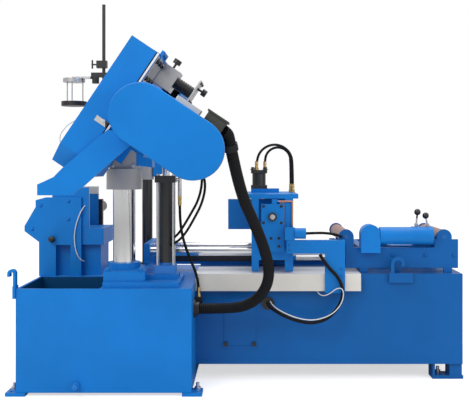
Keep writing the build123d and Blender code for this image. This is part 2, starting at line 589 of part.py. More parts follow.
def make_head_fittings():
    arm_y = (-500, -488)
    outline = [(-440, 1165), (-553, 1176), (-727, 1029), (-762, 993), (-825, 964), (-825, 922), (-691, 922),
               (-642, 960), (-440, 1139)]
    guard = block((WORM_N, MOTOR_N), (arm_y[0] - 1, arm_y[1] + 1),
                  (WORM_U - GUARD_R - FREE_GAP, WORM_U + GUARD_R + FREE_GAP))
    guard += rod((WORM_N, arm_y[0] - 1, WORM_U), (WORM_N, arm_y[1] + 1, WORM_U), 2 * (GUARD_R + FREE_GAP))
    arm = sheet(outline, arm_y) - on_head(guard)
    web = block((COVER_N[1] + PLATE_THICK, COVER_N[1] + PLATE_THICK + 40), (arm_y[1], -300), (-140, -100))
    save("front_arm", arm + on_head(web))
    manifold = block((COVER_N[1] + PLATE_THICK, 150), (-270, -170), (190, 285))
    save("valve_manifold", on_head(manifold))
    coils = []
    for y in (-247, -193):
        coil = rod((150, y, 240), (235, y, 240), 44)
        for step in range(7):
            coil += rod((155 + step * 11, y, 240), (161 + step * 11, y, 240), 50)
        coils.append(on_head(coil))
    save("solenoid_coils", *coils)
    save("valve_manifold", on_head(block((235, 243), (-275, -165), (195, 305))))
    knob_one = rod((110, -245, 285 + SLIDE_GAP), (110, -245, 305), 10)
    knob_one += rod((110, -245, 305), (110, -245, 325), 34)
    save("pressure_knob", on_head(knob_one))
    knob_two = rod((243 + SLIDE_GAP, -220, 270), (262, -220, 270), 10)
    knob_two += rod((262, -220, 270), (282, -220, 270), 30)
    save("feed_knob", on_head(knob_two))
    save("drive_plate", on_head(block((220, 330), (GUARD_BACK + 4, -440), (169, 196))))
    foot = head_point((GUIDE_BEAM_N[0] + GUIDE_BEAM_N[1]) / 2, ROD_PLACE_Y, GUIDE_BEAM_U[1])
    x = foot.X
    post = rod((x, ROD_PLACE_Y, foot.Z + 30), (x, ROD_PLACE_Y, HEIGHT_ROD_TOP), HEIGHT_ROD_D)
    post += on_head(block(GUIDE_BEAM_N, (ROD_PLACE_Y - 25, ROD_PLACE_Y + 25),
                          (GUIDE_BEAM_U[1], GUIDE_BEAM_U[1] + 45)))
    save("lamp_and_rod", post)
    clamp = block((x - 34, x + 16), (ROD_PLACE_Y - 16, ROD_PLACE_Y + 16), (1515, 1550))
    clamp += rod((x - 34, ROD_PLACE_Y, 1532), (x - 60, ROD_PLACE_Y, 1532), 8)
    clamp += rod((x - 56, ROD_PLACE_Y, 1512), (x - 56, ROD_PLACE_Y, 1554), 8)
    hole = rod((x, ROD_PLACE_Y, 1400), (x, ROD_PLACE_Y, 1600), HEIGHT_ROD_D)
    save("lamp_and_rod", clamp - hole)
    lamp_x = x - 145
    lamp = block((x - 60, x + 16), (ROD_PLACE_Y - 14, ROD_PLACE_Y + 14), (1470, 1492))
    lamp += block((lamp_x - 8, x - 50), (ROD_PLACE_Y - 5, ROD_PLACE_Y + 5), (1462, 1474))
    lamp += rod((lamp_x, ROD_PLACE_Y, 1446), (lamp_x, ROD_PLACE_Y, 1464), LAMP_D - 16)
    for step in range(3):
        angle = math.radians(30 + 120 * step)
        stay = (lamp_x + LAMP_STAY_R * math.cos(angle), ROD_PLACE_Y + LAMP_STAY_R * math.sin(angle))
        lamp += rod((*stay, 1350), (*stay, 1450), 6)
    lamp += rod((lamp_x, ROD_PLACE_Y, 1330), (lamp_x, ROD_PLACE_Y, 1352), LAMP_D)
    lamp += rod((x - 40, ROD_PLACE_Y, 1440), (x - 40, ROD_PLACE_Y, 1472), 34)
    save("lamp_and_rod", lamp - hole)


def make_tension():
    inner = COVER_N[1] + PLATE_THICK
    slide = block((COVER_N[1] - 2, inner + 1), (FAR_WHEEL_Y - 54, FAR_WHEEL_Y + 54), (-44.6, 44.6))
    slide += block((inner + SLIDE_GAP, inner + 95), (FAR_WHEEL_Y - 82, FAR_WHEEL_Y + 82), (-70, 70))
    slide -= rod((0, FAR_WHEEL_Y, 0), (inner + 40, FAR_WHEEL_Y, 0), AXLE_D + 2 * RUN_GAP)
    save("tension_slide", on_head(slide))
    screw_n = inner + 70
    nut_y = (FAR_WHEEL_Y + 110, FAR_WHEEL_Y + 135)
    nut = block((inner, screw_n + 25), nut_y, (-25, 25))
    nut -= rod((screw_n, nut_y[0] - 1, 0), (screw_n, nut_y[1] + 1, 0), 20 + 2 * RUN_GAP)
    save("bow_frame", on_head(nut))
    wheel_y = (FAR_WHEEL_Y + 150, FAR_WHEEL_Y + 172)
    wheel = rod((screw_n, FAR_WHEEL_Y + 82.3, 0), (screw_n, wheel_y[1], 0), 20)
    wheel += tube((screw_n, wheel_y[0], 0), (screw_n, wheel_y[1], 0), 118, 90)
    for step in range(3):
        spoke = block((0, 50), wheel_y, (-6, 6)).rotate(Axis.Y, step * 120)
        wheel += spoke.moved(Location((screw_n, 0, 0)))
    save("tension_handwheel", on_head(wheel))
    hub_y = (770, 786)
    brush = rod((52, hub_y[0], -250), (52, hub_y[1], -250), 60) + rod((52, hub_y[1], -250), (52, 800, -250), 12)
    save("chip_brush", on_head(brush))
    bracket = block((38, 66), (788, 805), (-264, -185)) - rod((52, 780, -250), (52, 810, -250), 12 + 2 * RUN_GAP)
    save("bow_frame", on_head(bracket))


# Feed side
def make_feed_base():
    shell = block(FEED_X, FEED_Y, FEED_Z)
    wall = FEED_WALL
    shell -= block((FEED_X[0] + wall, FEED_X[1] - wall), (FEED_Y[0] + wall, FEED_Y[1] - wall),
                   (FEED_Z[0] - 1, FEED_Z[1] - wall))
    shell -= block((ACCESS_X[0] + 12, ACCESS_X[1] - 12), (FEED_Y[0] - 1, FEED_Y[0] + wall + 1),
                   (ACCESS_Z[0] + 12, ACCESS_Z[1] - 12))
    shell -= rod((GROMMET[0], FEED_Y[0] - 1, GROMMET[1]), (GROMMET[0], FEED_Y[0] + wall + 1, GROMMET[1]), 44)
    save("feed_base", shell)
    save("access_panels", block(ACCESS_X, (FEED_Y[0] - 3, FEED_Y[0]), ACCESS_Z))
    knobs = []
    for x in (ACCESS_X[0] + 9, ACCESS_X[1] - 9):
        knobs.append(rod((x, FEED_Y[0] - 3, ACCESS_Z[0] + 9), (x, FEED_Y[0] - 19, ACCESS_Z[0] + 9), 20))
    save("base_fittings", *knobs)
    grommet = rod((GROMMET[0], FEED_Y[0], GROMMET[1]), (GROMMET[0], FEED_Y[0] - 12, GROMMET[1]), 62)
    grommet -= rod((GROMMET[0], FEED_Y[0] + 1, GROMMET[1]), (GROMMET[0], FEED_Y[0] - 13, GROMMET[1]),
                   CABLE_D - 4)
    save("base_fittings", grommet)
    tray = block(TRAY_X, TRAY_Y, (FEED_Z[1], FEED_Z[1] + TRAY_THICK))
    tray += block(TRAY_X, (TRAY_Y[0], TRAY_Y[0] + 3), (TRAY_APRON, FEED_Z[1] + TRAY_THICK))
    save("drip_tray", tray)
    front = TRAY_Y[0]
    stop = sheet([(359, 429), (455, 429), (455, 682), (175, 682), (175, 618), (359, 618)], (front - 12, front))
    stop += block((175, 455), (front - 1, front + 22), (618, 682))
    stop += block((370, 440), (front + 3, FEED_Y[0]), (TRAY_APRON + 5, FEED_Z[1] - 10))
    save("feed_brackets", stop)
    valve_y = (front - 16, front + 27)
    valve = block((167, 215), valve_y, (682, 742))
    valve += rod((214, STOP_HOSE_Y, STOP_HOSE_Z), (268, STOP_HOSE_Y, STOP_HOSE_Z), 52)
    save("feed_brackets", valve)
    bars = []
    floor = FEED_Z[1] + TRAY_THICK
    left_x = (BAR_X[0] - 10, BAR_X[0] + 18)
    right_x = (BAR_X[1] - 15, BAR_X[1] + 13)
    left = block(left_x, SUPPORT_Y, (BASE_Z[1], BAR_Z + 40))
    right = block(right_x, SUPPORT_Y, (floor, BAR_Z + 40))
    right += block(right_x, (TRAY_Y[1], SUPPORT_Y[1]), (FEED_Z[1], floor))
    right -= rod((right_x[0] - 1, FEED_ROD_Y, FEED_ROD_Z), (right_x[1] + 1, FEED_ROD_Y, FEED_ROD_Z), CYLINDER_D)
    for y in BAR_Y:
        hole = rod((left_x[0] - 1, y, BAR_Z), (right_x[1] + 1, y, BAR_Z), BAR_D)
        left -= hole
        right -= hole
        bars.append(rod((BAR_X[0], y, BAR_Z), (BAR_X[1], y, BAR_Z), BAR_D))
    beam = block((left_x[1], right_x[0]), (SUPPORT_Y[1] - REAR_BEAM_THICK, SUPPORT_Y[1]), (FEED_Z[1], REAR_BEAM_TOP))
    save("guide_bars", *bars)
    save("feed_brackets", left, right, beam)
    at = (FEED_ROD_Y, FEED_ROD_Z)
    barrel = tube((BAR_X[1] - 15, *at), (1000, *at), CYLINDER_D, ROD_D + 2 * RUN_GAP)
    save("hydraulic_cylinders", barrel)


def make_carriage():
    x0, x1 = CARRIAGE_X
    base_top = TABLE_Z - 2
    body = block(CARRIAGE_X, CARRIAGE_Y, (BAR_Z - 32, base_top))
    legs = []
    for x in ((x0, x0 + 35), (x1 - 40, x1)):
        leg_y = (CARRIAGE_Y[0], CARRIAGE_Y[0] + 35)
        legs.append(block(x, leg_y, (LEG_BOTTOM, BAR_Z - 32)))
        legs.append(block(x, leg_y, (base_top, CARRIAGE_TOP - 22)))
    wall_y = (CARRIAGE_Y[1] - 35, CARRIAGE_Y[1])
    wall = block(CARRIAGE_X, wall_y, (base_top, CARRIAGE_TOP - 22))
    top_plate = block((x0 - 23, x1 + 25), CARRIAGE_Y, (CARRIAGE_TOP - 22, CARRIAGE_TOP))
    body += block((x1 - 20, x1), (FEED_ROD_Y - 30, FEED_ROD_Y + 30), (FEED_ROD_Z - 28, BAR_Z - 32))
    for y in BAR_Y:
        body -= rod((x0 - 1, y, BAR_Z), (x1 + 1, y, BAR_Z), BAR_D + 2 * RUN_GAP)
    wall -= rod((JAW_ROD[0], wall_y[0] - 1, JAW_ROD[1]), (JAW_ROD[0], wall_y[1] + 1, JAW_ROD[1]),
                ROD_D + 2 * RUN_GAP)
    top_plate -= rod((*CLAMP_AT, CARRIAGE_TOP - 23), (*CLAMP_AT, CARRIAGE_TOP + 1), ROD_D + 2 * RUN_GAP)
    save("feed_carriage", body, *legs, wall, top_plate)
    save("feed_carriage", rod((x1, FEED_ROD_Y, FEED_ROD_Z), (800, FEED_ROD_Y, FEED_ROD_Z), ROD_D))
    save("carriage_plates", block((-110, 150), (STOCK_Y[0] - 40, STOCK_Y[0]), (base_top, CARRIAGE_TOP - 30)))
    plate = block((54, 166), (CARRIAGE_Y[0] + 6, CARRIAGE_Y[0] + 24), (base_top, 853))
    plate += block((54, 166), (CARRIAGE_Y[0] - 14, CARRIAGE_Y[0]), (620, 853))
    plate += block((54, 166), (CARRIAGE_Y[0] - 14, CARRIAGE_Y[0] + 24), (base_top, 853))
    save("carriage_plates", plate)
    bearing_y = CARRIAGE_Y[0] - 14
    bearing = rod((JAW_ROD[0], bearing_y, JAW_ROD[1]), (JAW_ROD[0], bearing_y - 12, JAW_ROD[1]), 42)
    save("carriage_cylinders", bearing)
    jaw_back = STOCK_Y[1] + 15
    jaw = block((20, 200), (STOCK_Y[1], jaw_back - SLIDE_GAP), (base_top + SLIDE_GAP, PAD_BOTTOM - FREE_GAP))
    jaw += rod((JAW_ROD[0], jaw_back - 1, JAW_ROD[1]), (JAW_ROD[0], 1000, JAW_ROD[1]), ROD_D)
    save("feed_moving_jaw", jaw)
    barrel = rod((JAW_ROD[0], CARRIAGE_Y[1], JAW_ROD[1]), (JAW_ROD[0], 1030, JAW_ROD[1]), CYLINDER_D)
    barrel -= rod((JAW_ROD[0], CARRIAGE_Y[1] - 1, JAW_ROD[1]), (JAW_ROD[0], 1015, JAW_ROD[1]),
                  ROD_D + 2 * RUN_GAP)
    save("carriage_cylinders", barrel)
    plate_top = CARRIAGE_TOP + 20
    clamp_x, clamp_y = CLAMP_AT
    seat = block((5, 150), (clamp_y - 60, clamp_y + 60), (CARRIAGE_TOP, plate_top))
    top = rod((*CLAMP_AT, plate_top), (*CLAMP_AT, plate_top + 97), 70)
    for z in (plate_top, plate_top + 79):
        top += block((clamp_x - 42, clamp_x + 42), (clamp_y - 42, clamp_y + 42), (z, z + 18))
    bore = rod((*CLAMP_AT, CARRIAGE_TOP - 1), (*CLAMP_AT, plate_top + 90), ROD_D + 2 * RUN_GAP)
    save("feed_carriage", seat - bore)
    save("carriage_cylinders", top - bore)
    ram = rod((*CLAMP_AT, PAD_BOTTOM + 10), (*CLAMP_AT, plate_top + 80), ROD_D)
    ram += rod((*CLAMP_AT, PAD_BOTTOM), (*CLAMP_AT, PAD_BOTTOM + PAD_THICK), 60)
    save("clamp_ram", ram)


def make_roller_table():
    near = (FRAME_Y[0], FRAME_Y[0] + FRAME_THICK)
    far = (FRAME_Y[1] - FRAME_THICK, FRAME_Y[1])
    frame = block(FRAME_X, near, FRAME_Z) + block(FRAME_X, far, FRAME_Z)
    for x in (FRAME_X[0] + 70, 700, FRAME_X[1] - 70):
        frame += block((x, x + 40), FRAME_Y, (FRAME_Z[1] - 36, FRAME_Z[1]))
        for y in (near, far):
            frame += block((x, x + 40), y, (FEED_Z[1], FRAME_Z[0]))
    frame += block((905, FRAME_X[1]), near, (FRAME_Z[1], FRAME_Z[1] + 40))
    for x in ROLLER_X:
        for y in (near, far):
            axis_z = TABLE_Z - ROLLER_D / 2
            low = FRAME_Z[1] + 40 if x > 900 and y == near else FRAME_Z[1]
            plate = block((x - 37, x + 37), y, (low, axis_z)) if x > FRAME_X[0] + 37 else block(
                (FRAME_X[0], x + 37), y, (low, axis_z))
            plate += rod((x, y[0], axis_z), (x, y[1], axis_z), 74)
            pin = rod((x, y[0] - 1, axis_z), (x, y[1] + 1, axis_z), ROLLER_PIN_D + 2 * RUN_GAP)
            frame = frame + plate - pin
    save("roller_frame", frame)
    for count, x in enumerate(ROLLER_X, start=1):
        axis_z = TABLE_Z - ROLLER_D / 2
        roller = rod((x, ROLLER_Y[0], axis_z), (x, ROLLER_Y[1], axis_z), ROLLER_D)
        roller += rod((x, near[0], axis_z), (x, far[1], axis_z), ROLLER_PIN_D)
        save(f"table_roller_{count}", roller)
    side_y = near[0] - 5
    bracket = block((540, 634), (side_y - 35, near[0] + 37), (FRAME_Z[1], 705))
    bracket += rod((587, side_y - 35, 705), (587, near[0] + 37, 705), 94)
    bracket += block((540, 634), (side_y - 35, near[0]), (615, FRAME_Z[1]))
    save("table_brackets", bracket)
    save("side_cylinder", rod((634, side_y, 697), (894, side_y, 697), 84))
    valve_y = (366, 424)
    cross = block((700, 905), valve_y, (FRAME_Z[1], FRAME_Z[1] + 6)) + block(
        (810, 905), valve_y, (FRAME_Z[1], 735))
    save("table_brackets", cross)
    for count, (foot_x, lean, top) in enumerate(((830, 6, 808), (885, -8, 790)), start=1):
        y = (valve_y[0] + valve_y[1]) / 2
        lever = rod((foot_x, y - 10, 735 + SLIDE_GAP + 9), (foot_x, y + 10, 735 + SLIDE_GAP + 9), 18)
        lever += rod((foot_x, y, 744), (foot_x + lean, y, top), 9)
        lever += Pos(foot_x + lean, y, top) * Sphere(16)
        save(f"valve_lever_{count}", lever)


# Cords
def make_cords():
    path, radii = cord_path(CONDUIT_ROUTE)
    print("conduit radii", [round(radius) for radius in radii], "length", round(path.length))
    straight = CONDUIT_D / path.length
    pitch = (1 - 2 * straight) / CONDUIT_RIBS
    low = CONDUIT_D / 2 - 3
    high = CONDUIT_D / 2
    stations = [(0, low)]
    for rib in range(CONDUIT_RIBS):
        begin = straight + rib * pitch
        for share, radius in ((0.1, low), (0.35, high), (0.65, high), (0.9, low)):
            stations.append((begin + share * pitch, radius))
    stations.append((1, low))

    def ring(share, radius):
        along = path % share
        flat = Vector(1, 0, 0) - along * along.X
        return Plane(origin=path @ share, x_dir=flat, z_dir=along) * Wire.make_circle(radius)

    outer = Solid.make_loft([ring(share, radius) for share, radius in stations], ruled=True)
    bore = Solid.make_loft([ring(share, CONDUIT_BORE / 2) for share, _ in stations], ruled=True)
    save("conduit_hose", outer - bore)
    save("carriage_cable", cord("carriage cable", CABLE_ROUTE, CABLE_D))
    fitting = rod((LIFT_X + CAP_SIZE / 2, COLUMN_Y, 976), (-332, COLUMN_Y, 976), 18)
    fitting += rod((-332, COLUMN_Y, 985), (-332, COLUMN_Y, 895), 18)
    save("steel_fasteners", fitting)
    save("base_hoses", cord("lift hose", LIFT_HOSE_ROUTE, HOSE_D), cord("stop hose", STOP_HOSE_ROUTE, HOSE_D))
    save("clamp_hoses", *[cord("clamp hose", route, HOSE_D) for route in CLAMP_HOSE_ROUTES])


os.makedirs("parts", exist_ok=True)
make_main_base()
make_feet()
make_base_fittings()
make_columns()
make_main_vise()
make_cover("near_wheel_cover", True)
make_cover("far_wheel_cover", False)
make_latches()
make_bow_frame()
save("drive_wheel", make_wheel(NEAR_WHEEL_Y, 190))
save("idler_wheel", make_wheel(FAR_WHEEL_Y, COVER_N[1] + PLATE_THICK + 38))
make_band()
make_guides()
make_drive()
make_head_fittings()
make_tension()
make_feed_base()
make_carriage()
make_roller_table()
make_cords()
write_nodes()
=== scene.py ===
"""Dress the column band saw: finishes for its nodes, hoses and cables, small fittings, studio and camera."""
import logging
import math
from dataclasses import dataclass, field, replace
from enum import Enum
from typing import Optional, Sequence

import bmesh
import bpy
from bmesh.types import BMesh
from bpy.types import Material, Node, NodeSocket, NodeTree, Object, Scene
from mathutils import Matrix, Vector


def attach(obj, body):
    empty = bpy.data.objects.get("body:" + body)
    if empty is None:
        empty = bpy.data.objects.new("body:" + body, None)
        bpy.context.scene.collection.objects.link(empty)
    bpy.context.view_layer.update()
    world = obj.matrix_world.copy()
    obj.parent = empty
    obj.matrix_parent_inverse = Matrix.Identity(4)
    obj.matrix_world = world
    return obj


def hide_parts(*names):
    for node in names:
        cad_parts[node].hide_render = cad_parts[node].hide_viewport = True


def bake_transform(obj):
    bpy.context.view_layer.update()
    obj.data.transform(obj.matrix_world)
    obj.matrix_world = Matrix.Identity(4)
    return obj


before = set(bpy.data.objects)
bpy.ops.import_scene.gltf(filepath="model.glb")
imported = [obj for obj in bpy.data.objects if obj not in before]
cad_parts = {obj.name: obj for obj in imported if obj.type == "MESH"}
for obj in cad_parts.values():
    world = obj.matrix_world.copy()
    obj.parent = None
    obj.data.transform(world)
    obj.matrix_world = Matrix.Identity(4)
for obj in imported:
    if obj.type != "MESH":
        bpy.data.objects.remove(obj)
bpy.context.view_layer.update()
LOG = logging.getLogger("band_saw")

# The machine's own coordinates put X = 0 under the camera and Y = 0 at the tank front, in millimetres
SHIFT = Vector((48.0, -400.0, 0.0))
MM_PER_M = 1000.0
HEAD_SLOPE = math.radians(56.2)
HEAD_UP = Vector((math.cos(HEAD_SLOPE), 0.0, math.sin(HEAD_SLOPE)))
HEAD_AXLE = Vector((math.sin(HEAD_SLOPE), 0.0, -math.cos(HEAD_SLOPE)))
HEAD_TURN = Matrix((HEAD_AXLE, Vector((0.0, 1.0, 0.0)), HEAD_UP)).transposed().to_4x4()
WHEEL_CENTRE = Vector((-571.0, 0.0, 1271.0))

Colour = tuple[float, float, float]
Point = tuple[float, float, float]
Route = tuple[Point, ...]


class Body(Enum):
    """Moving bodies of the machine that carry added pieces."""

    BASE = "base"
    HEAD = "saw_head"
    CARRIAGE = "carriage"


class Side(Enum):
    """Directions that a bolt head may face."""

    FRONT = (0.0, -1.0, 0.0)
    TOP = (0.0, 0.0, 1.0)
    RIGHT = (1.0, 0.0, 0.0)

    @property
    def axis(self) -> Vector:
        """The direction as a vector."""
        return Vector(self.value)


class Axis(Enum):
    """Axes of the part frame, as sockets name them."""

    X = "X"
    Y = "Y"
    Z = "Z"


class Stiffness(Enum):
    """How readily a cord bends."""

    LIMP = "limp"
    MEDIUM = "medium"
    STIFF = "stiff"


def place(x: float, y: float, z: float) -> Vector:
    """Turn machine millimetres into the part frame in metres.

    Args:
        x: Millimetres along the stock.
        y: Millimetres along the band, away from the front.
        z: Millimetres above the floor.

    Returns:
        The same point in the part frame.
    """
    return (Vector((x, y, z)) + SHIFT) / MM_PER_M


def on_head(n: float, y: float, u: float) -> Vector:
    """Turn a point on the leaning head's axes into the part frame in metres.

    Args:
        n: Millimetres along the wheel axle.
        y: Millimetres along the band.
        u: Millimetres up the slope.

    Returns:
        The same point in the part frame.
    """
    spot = WHEEL_CENTRE + HEAD_AXLE * n + HEAD_UP * u
    return place(spot.x, y, spot.z)


# The mix node's data types, each with its two inputs and its output
COLOUR_MIX = ("RGBA", slice(6, 8), 2)
NUMBER_MIX = ("FLOAT", slice(2, 4), 0)


class Nodes:
    """Short ways to add nodes to a node tree and to join them."""

    def __init__(self, tree: NodeTree) -> None:
        """Keep the tree that nodes go in."""
        self.tree = tree

    def add(self, kind: str, **values: object) -> Node:
        """Add a node and set its properties and unlinked inputs.

        Args:
            kind: Blender's name of the node type.
            **values: Properties by name, or inputs by name with spaces as underscores.

        Returns:
            The new node.
        """
        node = self.tree.nodes.new(kind)
        for name, value in values.items():
            if hasattr(node, name):
                setattr(node, name, value)
            else:
                node.inputs[name.replace("_", " ")].default_value = value
        return node

    def join(self, source: NodeSocket, target: NodeSocket) -> None:
        """Link an output to an input."""
        self.tree.links.new(source, target)

    def feed(self, slot: NodeSocket, value: object) -> None:
        """Link a socket to an input, or set the input to a number or a colour.

        Args:
            slot: The input.
            value: A socket, a number or a colour.
        """
        if isinstance(value, NodeSocket):
            self.join(value, slot)
        else:
            slot.default_value = (*value, 1.0) if isinstance(value, tuple) else value

    def math(self, operation: str, first: object, second: object) -> NodeSocket:
        """Add a clamped math node on two sockets or numbers.

        Args:
            operation: Blender's name of the operation.
            first: A socket or a number.
            second: A socket or a number.

        Returns:
            The result's socket.
        """
        node = self.add("ShaderNodeMath", operation=operation, use_clamp=True)
        for slot, value in zip(node.inputs, (first, second)):
            self.feed(slot, value)
        return node.outputs[0]

    def mix(self, factor: NodeSocket, first: object, second: object) -> NodeSocket:
        """Mix two colours or two numbers by a mask.

        Args:
            factor: The mask's socket.
            first: A socket, a colour or a number, shown where the mask is 0.
            second: A colour or a number, shown where the mask is 1.

        Returns:
            The mix's socket.
        """
        kind, inputs, output = COLOUR_MIX if isinstance(second, tuple) else NUMBER_MIX
        node = self.add("ShaderNodeMix", data_type=kind)
        self.join(factor, node.inputs[0])
        for slot, value in zip(node.inputs[inputs], (first, second)):
            self.feed(slot, value)
        return node.outputs[output]

    def spread(self, value: NodeSocket, low: float, high: float,
               to: tuple[float, float] = (0.0, 1.0)) -> NodeSocket:
        """Stretch a value from one range to another.

        Args:
            value: The value's socket.
            low: The value that becomes the first end.
            high: The value that becomes the second end.
            to: The two ends.

        Returns:
            The stretched value's socket.
        """
        node = self.add("ShaderNodeMapRange", clamp=True)
        self.join(value, node.inputs[0])
        for slot, number in zip(node.inputs[1:5], (low, high, *to)):
            slot.default_value = number
        return node.outputs[0]

    def noise(self, coords: NodeSocket, scale: NodeSocket, detail: float,
              roughness: float) -> NodeSocket:
        """Add a noise texture.

        Args:
            coords: The coordinates' socket.
            scale: The scale's socket.
            detail: How many finer layers it has.
            roughness: How strong the finer layers are.

        Returns:
            The noise value's socket.
        """
        node = self.add("ShaderNodeTexNoise", Detail=detail, Roughness=roughness)
        self.join(coords, node.inputs["Vector"])
        self.join(scale, node.inputs["Scale"])
        return node.outputs[0]


# Ranges of facing, height and noise values that the shared effects stretch to a mask from 0 to 1
EDGE_BAND = (0.995, 0.80)
WORN_BAND = (0.52, 0.68)
UPWARD_BAND = (0.25, 1.0)
DUST_BAND = (0.35, 0.75)
TONE_BAND = (0.3, 0.7)


def new_group(name: str, inputs: dict[str, float],
              outputs: dict[str, str]) -> tuple[NodeTree, Nodes, Node, Node]:
    """Start a shader node group with its sockets.

    Args:
        name: The group's name.
        inputs: Number inputs with their defaults.
        outputs: Output names with their socket types.

    Returns:
        The group, a helper that adds nodes to it, its input node and its output node.
    """
    group = bpy.data.node_groups.new(name, "ShaderNodeTree")
    for title, default in inputs.items():
        socket = group.interface.new_socket(title, in_out="INPUT", socket_type="NodeSocketFloat")
        socket.default_value = default
    for title, kind in outputs.items():
        group.interface.new_socket(title, in_out="OUTPUT", socket_type=kind)
    nodes = Nodes(group)
    return group, nodes, nodes.add("NodeGroupInput"), nodes.add("NodeGroupOutput")


def make_edge_wear() -> NodeTree:
    """Make the group that finds worn edges and rounds their shading.

    Returns:
        A group with a Mask of worn spots and a softened Normal.
    """
    inputs = {"Radius": 0.0025, "Amount": 0.5, "Patch": 30.0}
    outputs = {"Mask": "NodeSocketFloat", "Normal": "NodeSocketVector"}
    group, nodes, given, result = new_group("Edge wear", inputs, outputs)
    bevel = nodes.add("ShaderNodeBevel", samples=4)
    nodes.join(given.outputs["Radius"], bevel.inputs["Radius"])
    geometry = nodes.add("ShaderNodeNewGeometry")
    facing = nodes.add("ShaderNodeVectorMath", operation="DOT_PRODUCT")
    nodes.join(bevel.outputs[0], facing.inputs[0])
    nodes.join(geometry.outputs["Normal"], facing.inputs[1])
    edge = nodes.spread(facing.outputs["Value"], *EDGE_BAND)
    coords = nodes.add("ShaderNodeTexCoord")
    noise = nodes.noise(coords.outputs["Object"], given.outputs["Patch"], detail=5.0, roughness=0.65)
    patch = nodes.spread(noise, *WORN_BAND)
    worn = nodes.math("MULTIPLY", nodes.math("MULTIPLY", edge, patch), given.outputs["Amount"])
    nodes.join(worn, result.inputs["Mask"])
    nodes.join(bevel.outputs[0], result.inputs["Normal"])
    return group


def make_dust() -> NodeTree:
    """Make the group that finds where dust settles on upward faces.

    Returns:
        A group with a Mask.
    """
    group, nodes, given, result = new_group("Settled dust", {"Amount": 0.3, "Patch": 7.0},
                                            {"Mask": "NodeSocketFloat"})
    geometry = nodes.add("ShaderNodeNewGeometry")
    parts = nodes.add("ShaderNodeSeparateXYZ")
    nodes.join(geometry.outputs["Normal"], parts.inputs[0])
    upward = nodes.spread(parts.outputs["Z"], *UPWARD_BAND)
    coords = nodes.add("ShaderNodeTexCoord")
    noise = nodes.noise(coords.outputs["Object"], given.outputs["Patch"], detail=6.0, roughness=0.6)
    patch = nodes.spread(noise, *DUST_BAND)
    settled = nodes.math("MULTIPLY", nodes.math("MULTIPLY", upward, patch), given.outputs["Amount"])
    nodes.join(settled, result.inputs["Mask"])
    return group


def make_grain() -> NodeTree:
    """Make the group for fine relief and slow tone changes, stretched along a chosen axis.

    Returns:
        A group with a Height for bump and a Tone that drifts over the surface.
    """
    inputs = {"Fine": 450.0, "Broad": 3.0, "Stretch X": 1.0, "Stretch Y": 1.0, "Stretch Z": 1.0}
    outputs = {"Height": "NodeSocketFloat", "Tone": "NodeSocketFloat"}
    group, nodes, given, result = new_group("Surface grain", inputs, outputs)
    coords = nodes.add("ShaderNodeTexCoord")
    stretch = nodes.add("ShaderNodeCombineXYZ")
    for axis in Axis:
        nodes.join(given.outputs[f"Stretch {axis.value}"], stretch.inputs[axis.value])
    scaled = nodes.add("ShaderNodeVectorMath", operation="MULTIPLY")
    nodes.join(coords.outputs["Object"], scaled.inputs[0])
    nodes.join(stretch.outputs[0], scaled.inputs[1])
    fine = nodes.noise(scaled.outputs[0], given.outputs["Fine"], detail=2.0, roughness=0.5)
    broad = nodes.noise(coords.outputs["Object"], given.outputs["Broad"], detail=4.0, roughness=0.55)
    nodes.join(fine, result.inputs["Height"])
    nodes.join(nodes.spread(broad, *TONE_BAND), result.inputs["Tone"])
    return group


@dataclass
class Effects:
    """The shared node groups, built once."""

    wear: NodeTree = field(default_factory=make_edge_wear)
    dust: NodeTree = field(default_factory=make_dust)
    grain: NodeTree = field(default_factory=make_grain)


EFFECTS = Effects()
DUST_COLOUR: Colour = (0.46, 0.45, 0.43)
BUMP_DEPTH = 0.001
COAT_ROUGHNESS = 0.12


@dataclass(frozen=True)
class Zone:
    """A part of a node with another colour, past a plane square to one axis.

    Each further plane gives its axis, its place and whether the zone lies above it.
    """

    axis: Axis
    past: float
    colour: Colour
    metallic: float = 0.0
    roughness: float = 0.35
    above: bool = True
    further: tuple[tuple[Axis, float, bool], ...] = ()

    def lay_over(self, nodes: Nodes, so_far: tuple) -> tuple:
        """Lay the zone's colour, roughness and metal over what is there.

        Args:
            nodes: The material's node helper.
            so_far: The colour, roughness and metal up to here.

        Returns:
            The sockets of all three with the zone in them.
        """
        coords = nodes.add("ShaderNodeTexCoord")
        parts = nodes.add("ShaderNodeSeparateXYZ")
        nodes.join(coords.outputs["Object"], parts.inputs[0])
        inside: Optional[NodeSocket] = None
        for axis, past, above in ((self.axis, self.past, self.above), *self.further):
            side = nodes.math("GREATER_THAN" if above else "LESS_THAN", parts.outputs[axis.value], past)
            inside = side if inside is None else nodes.math("MULTIPLY", inside, side)
        own = (self.colour, self.roughness, self.metallic)
        return tuple(nodes.mix(inside, first, second) for first, second in zip(so_far, own))


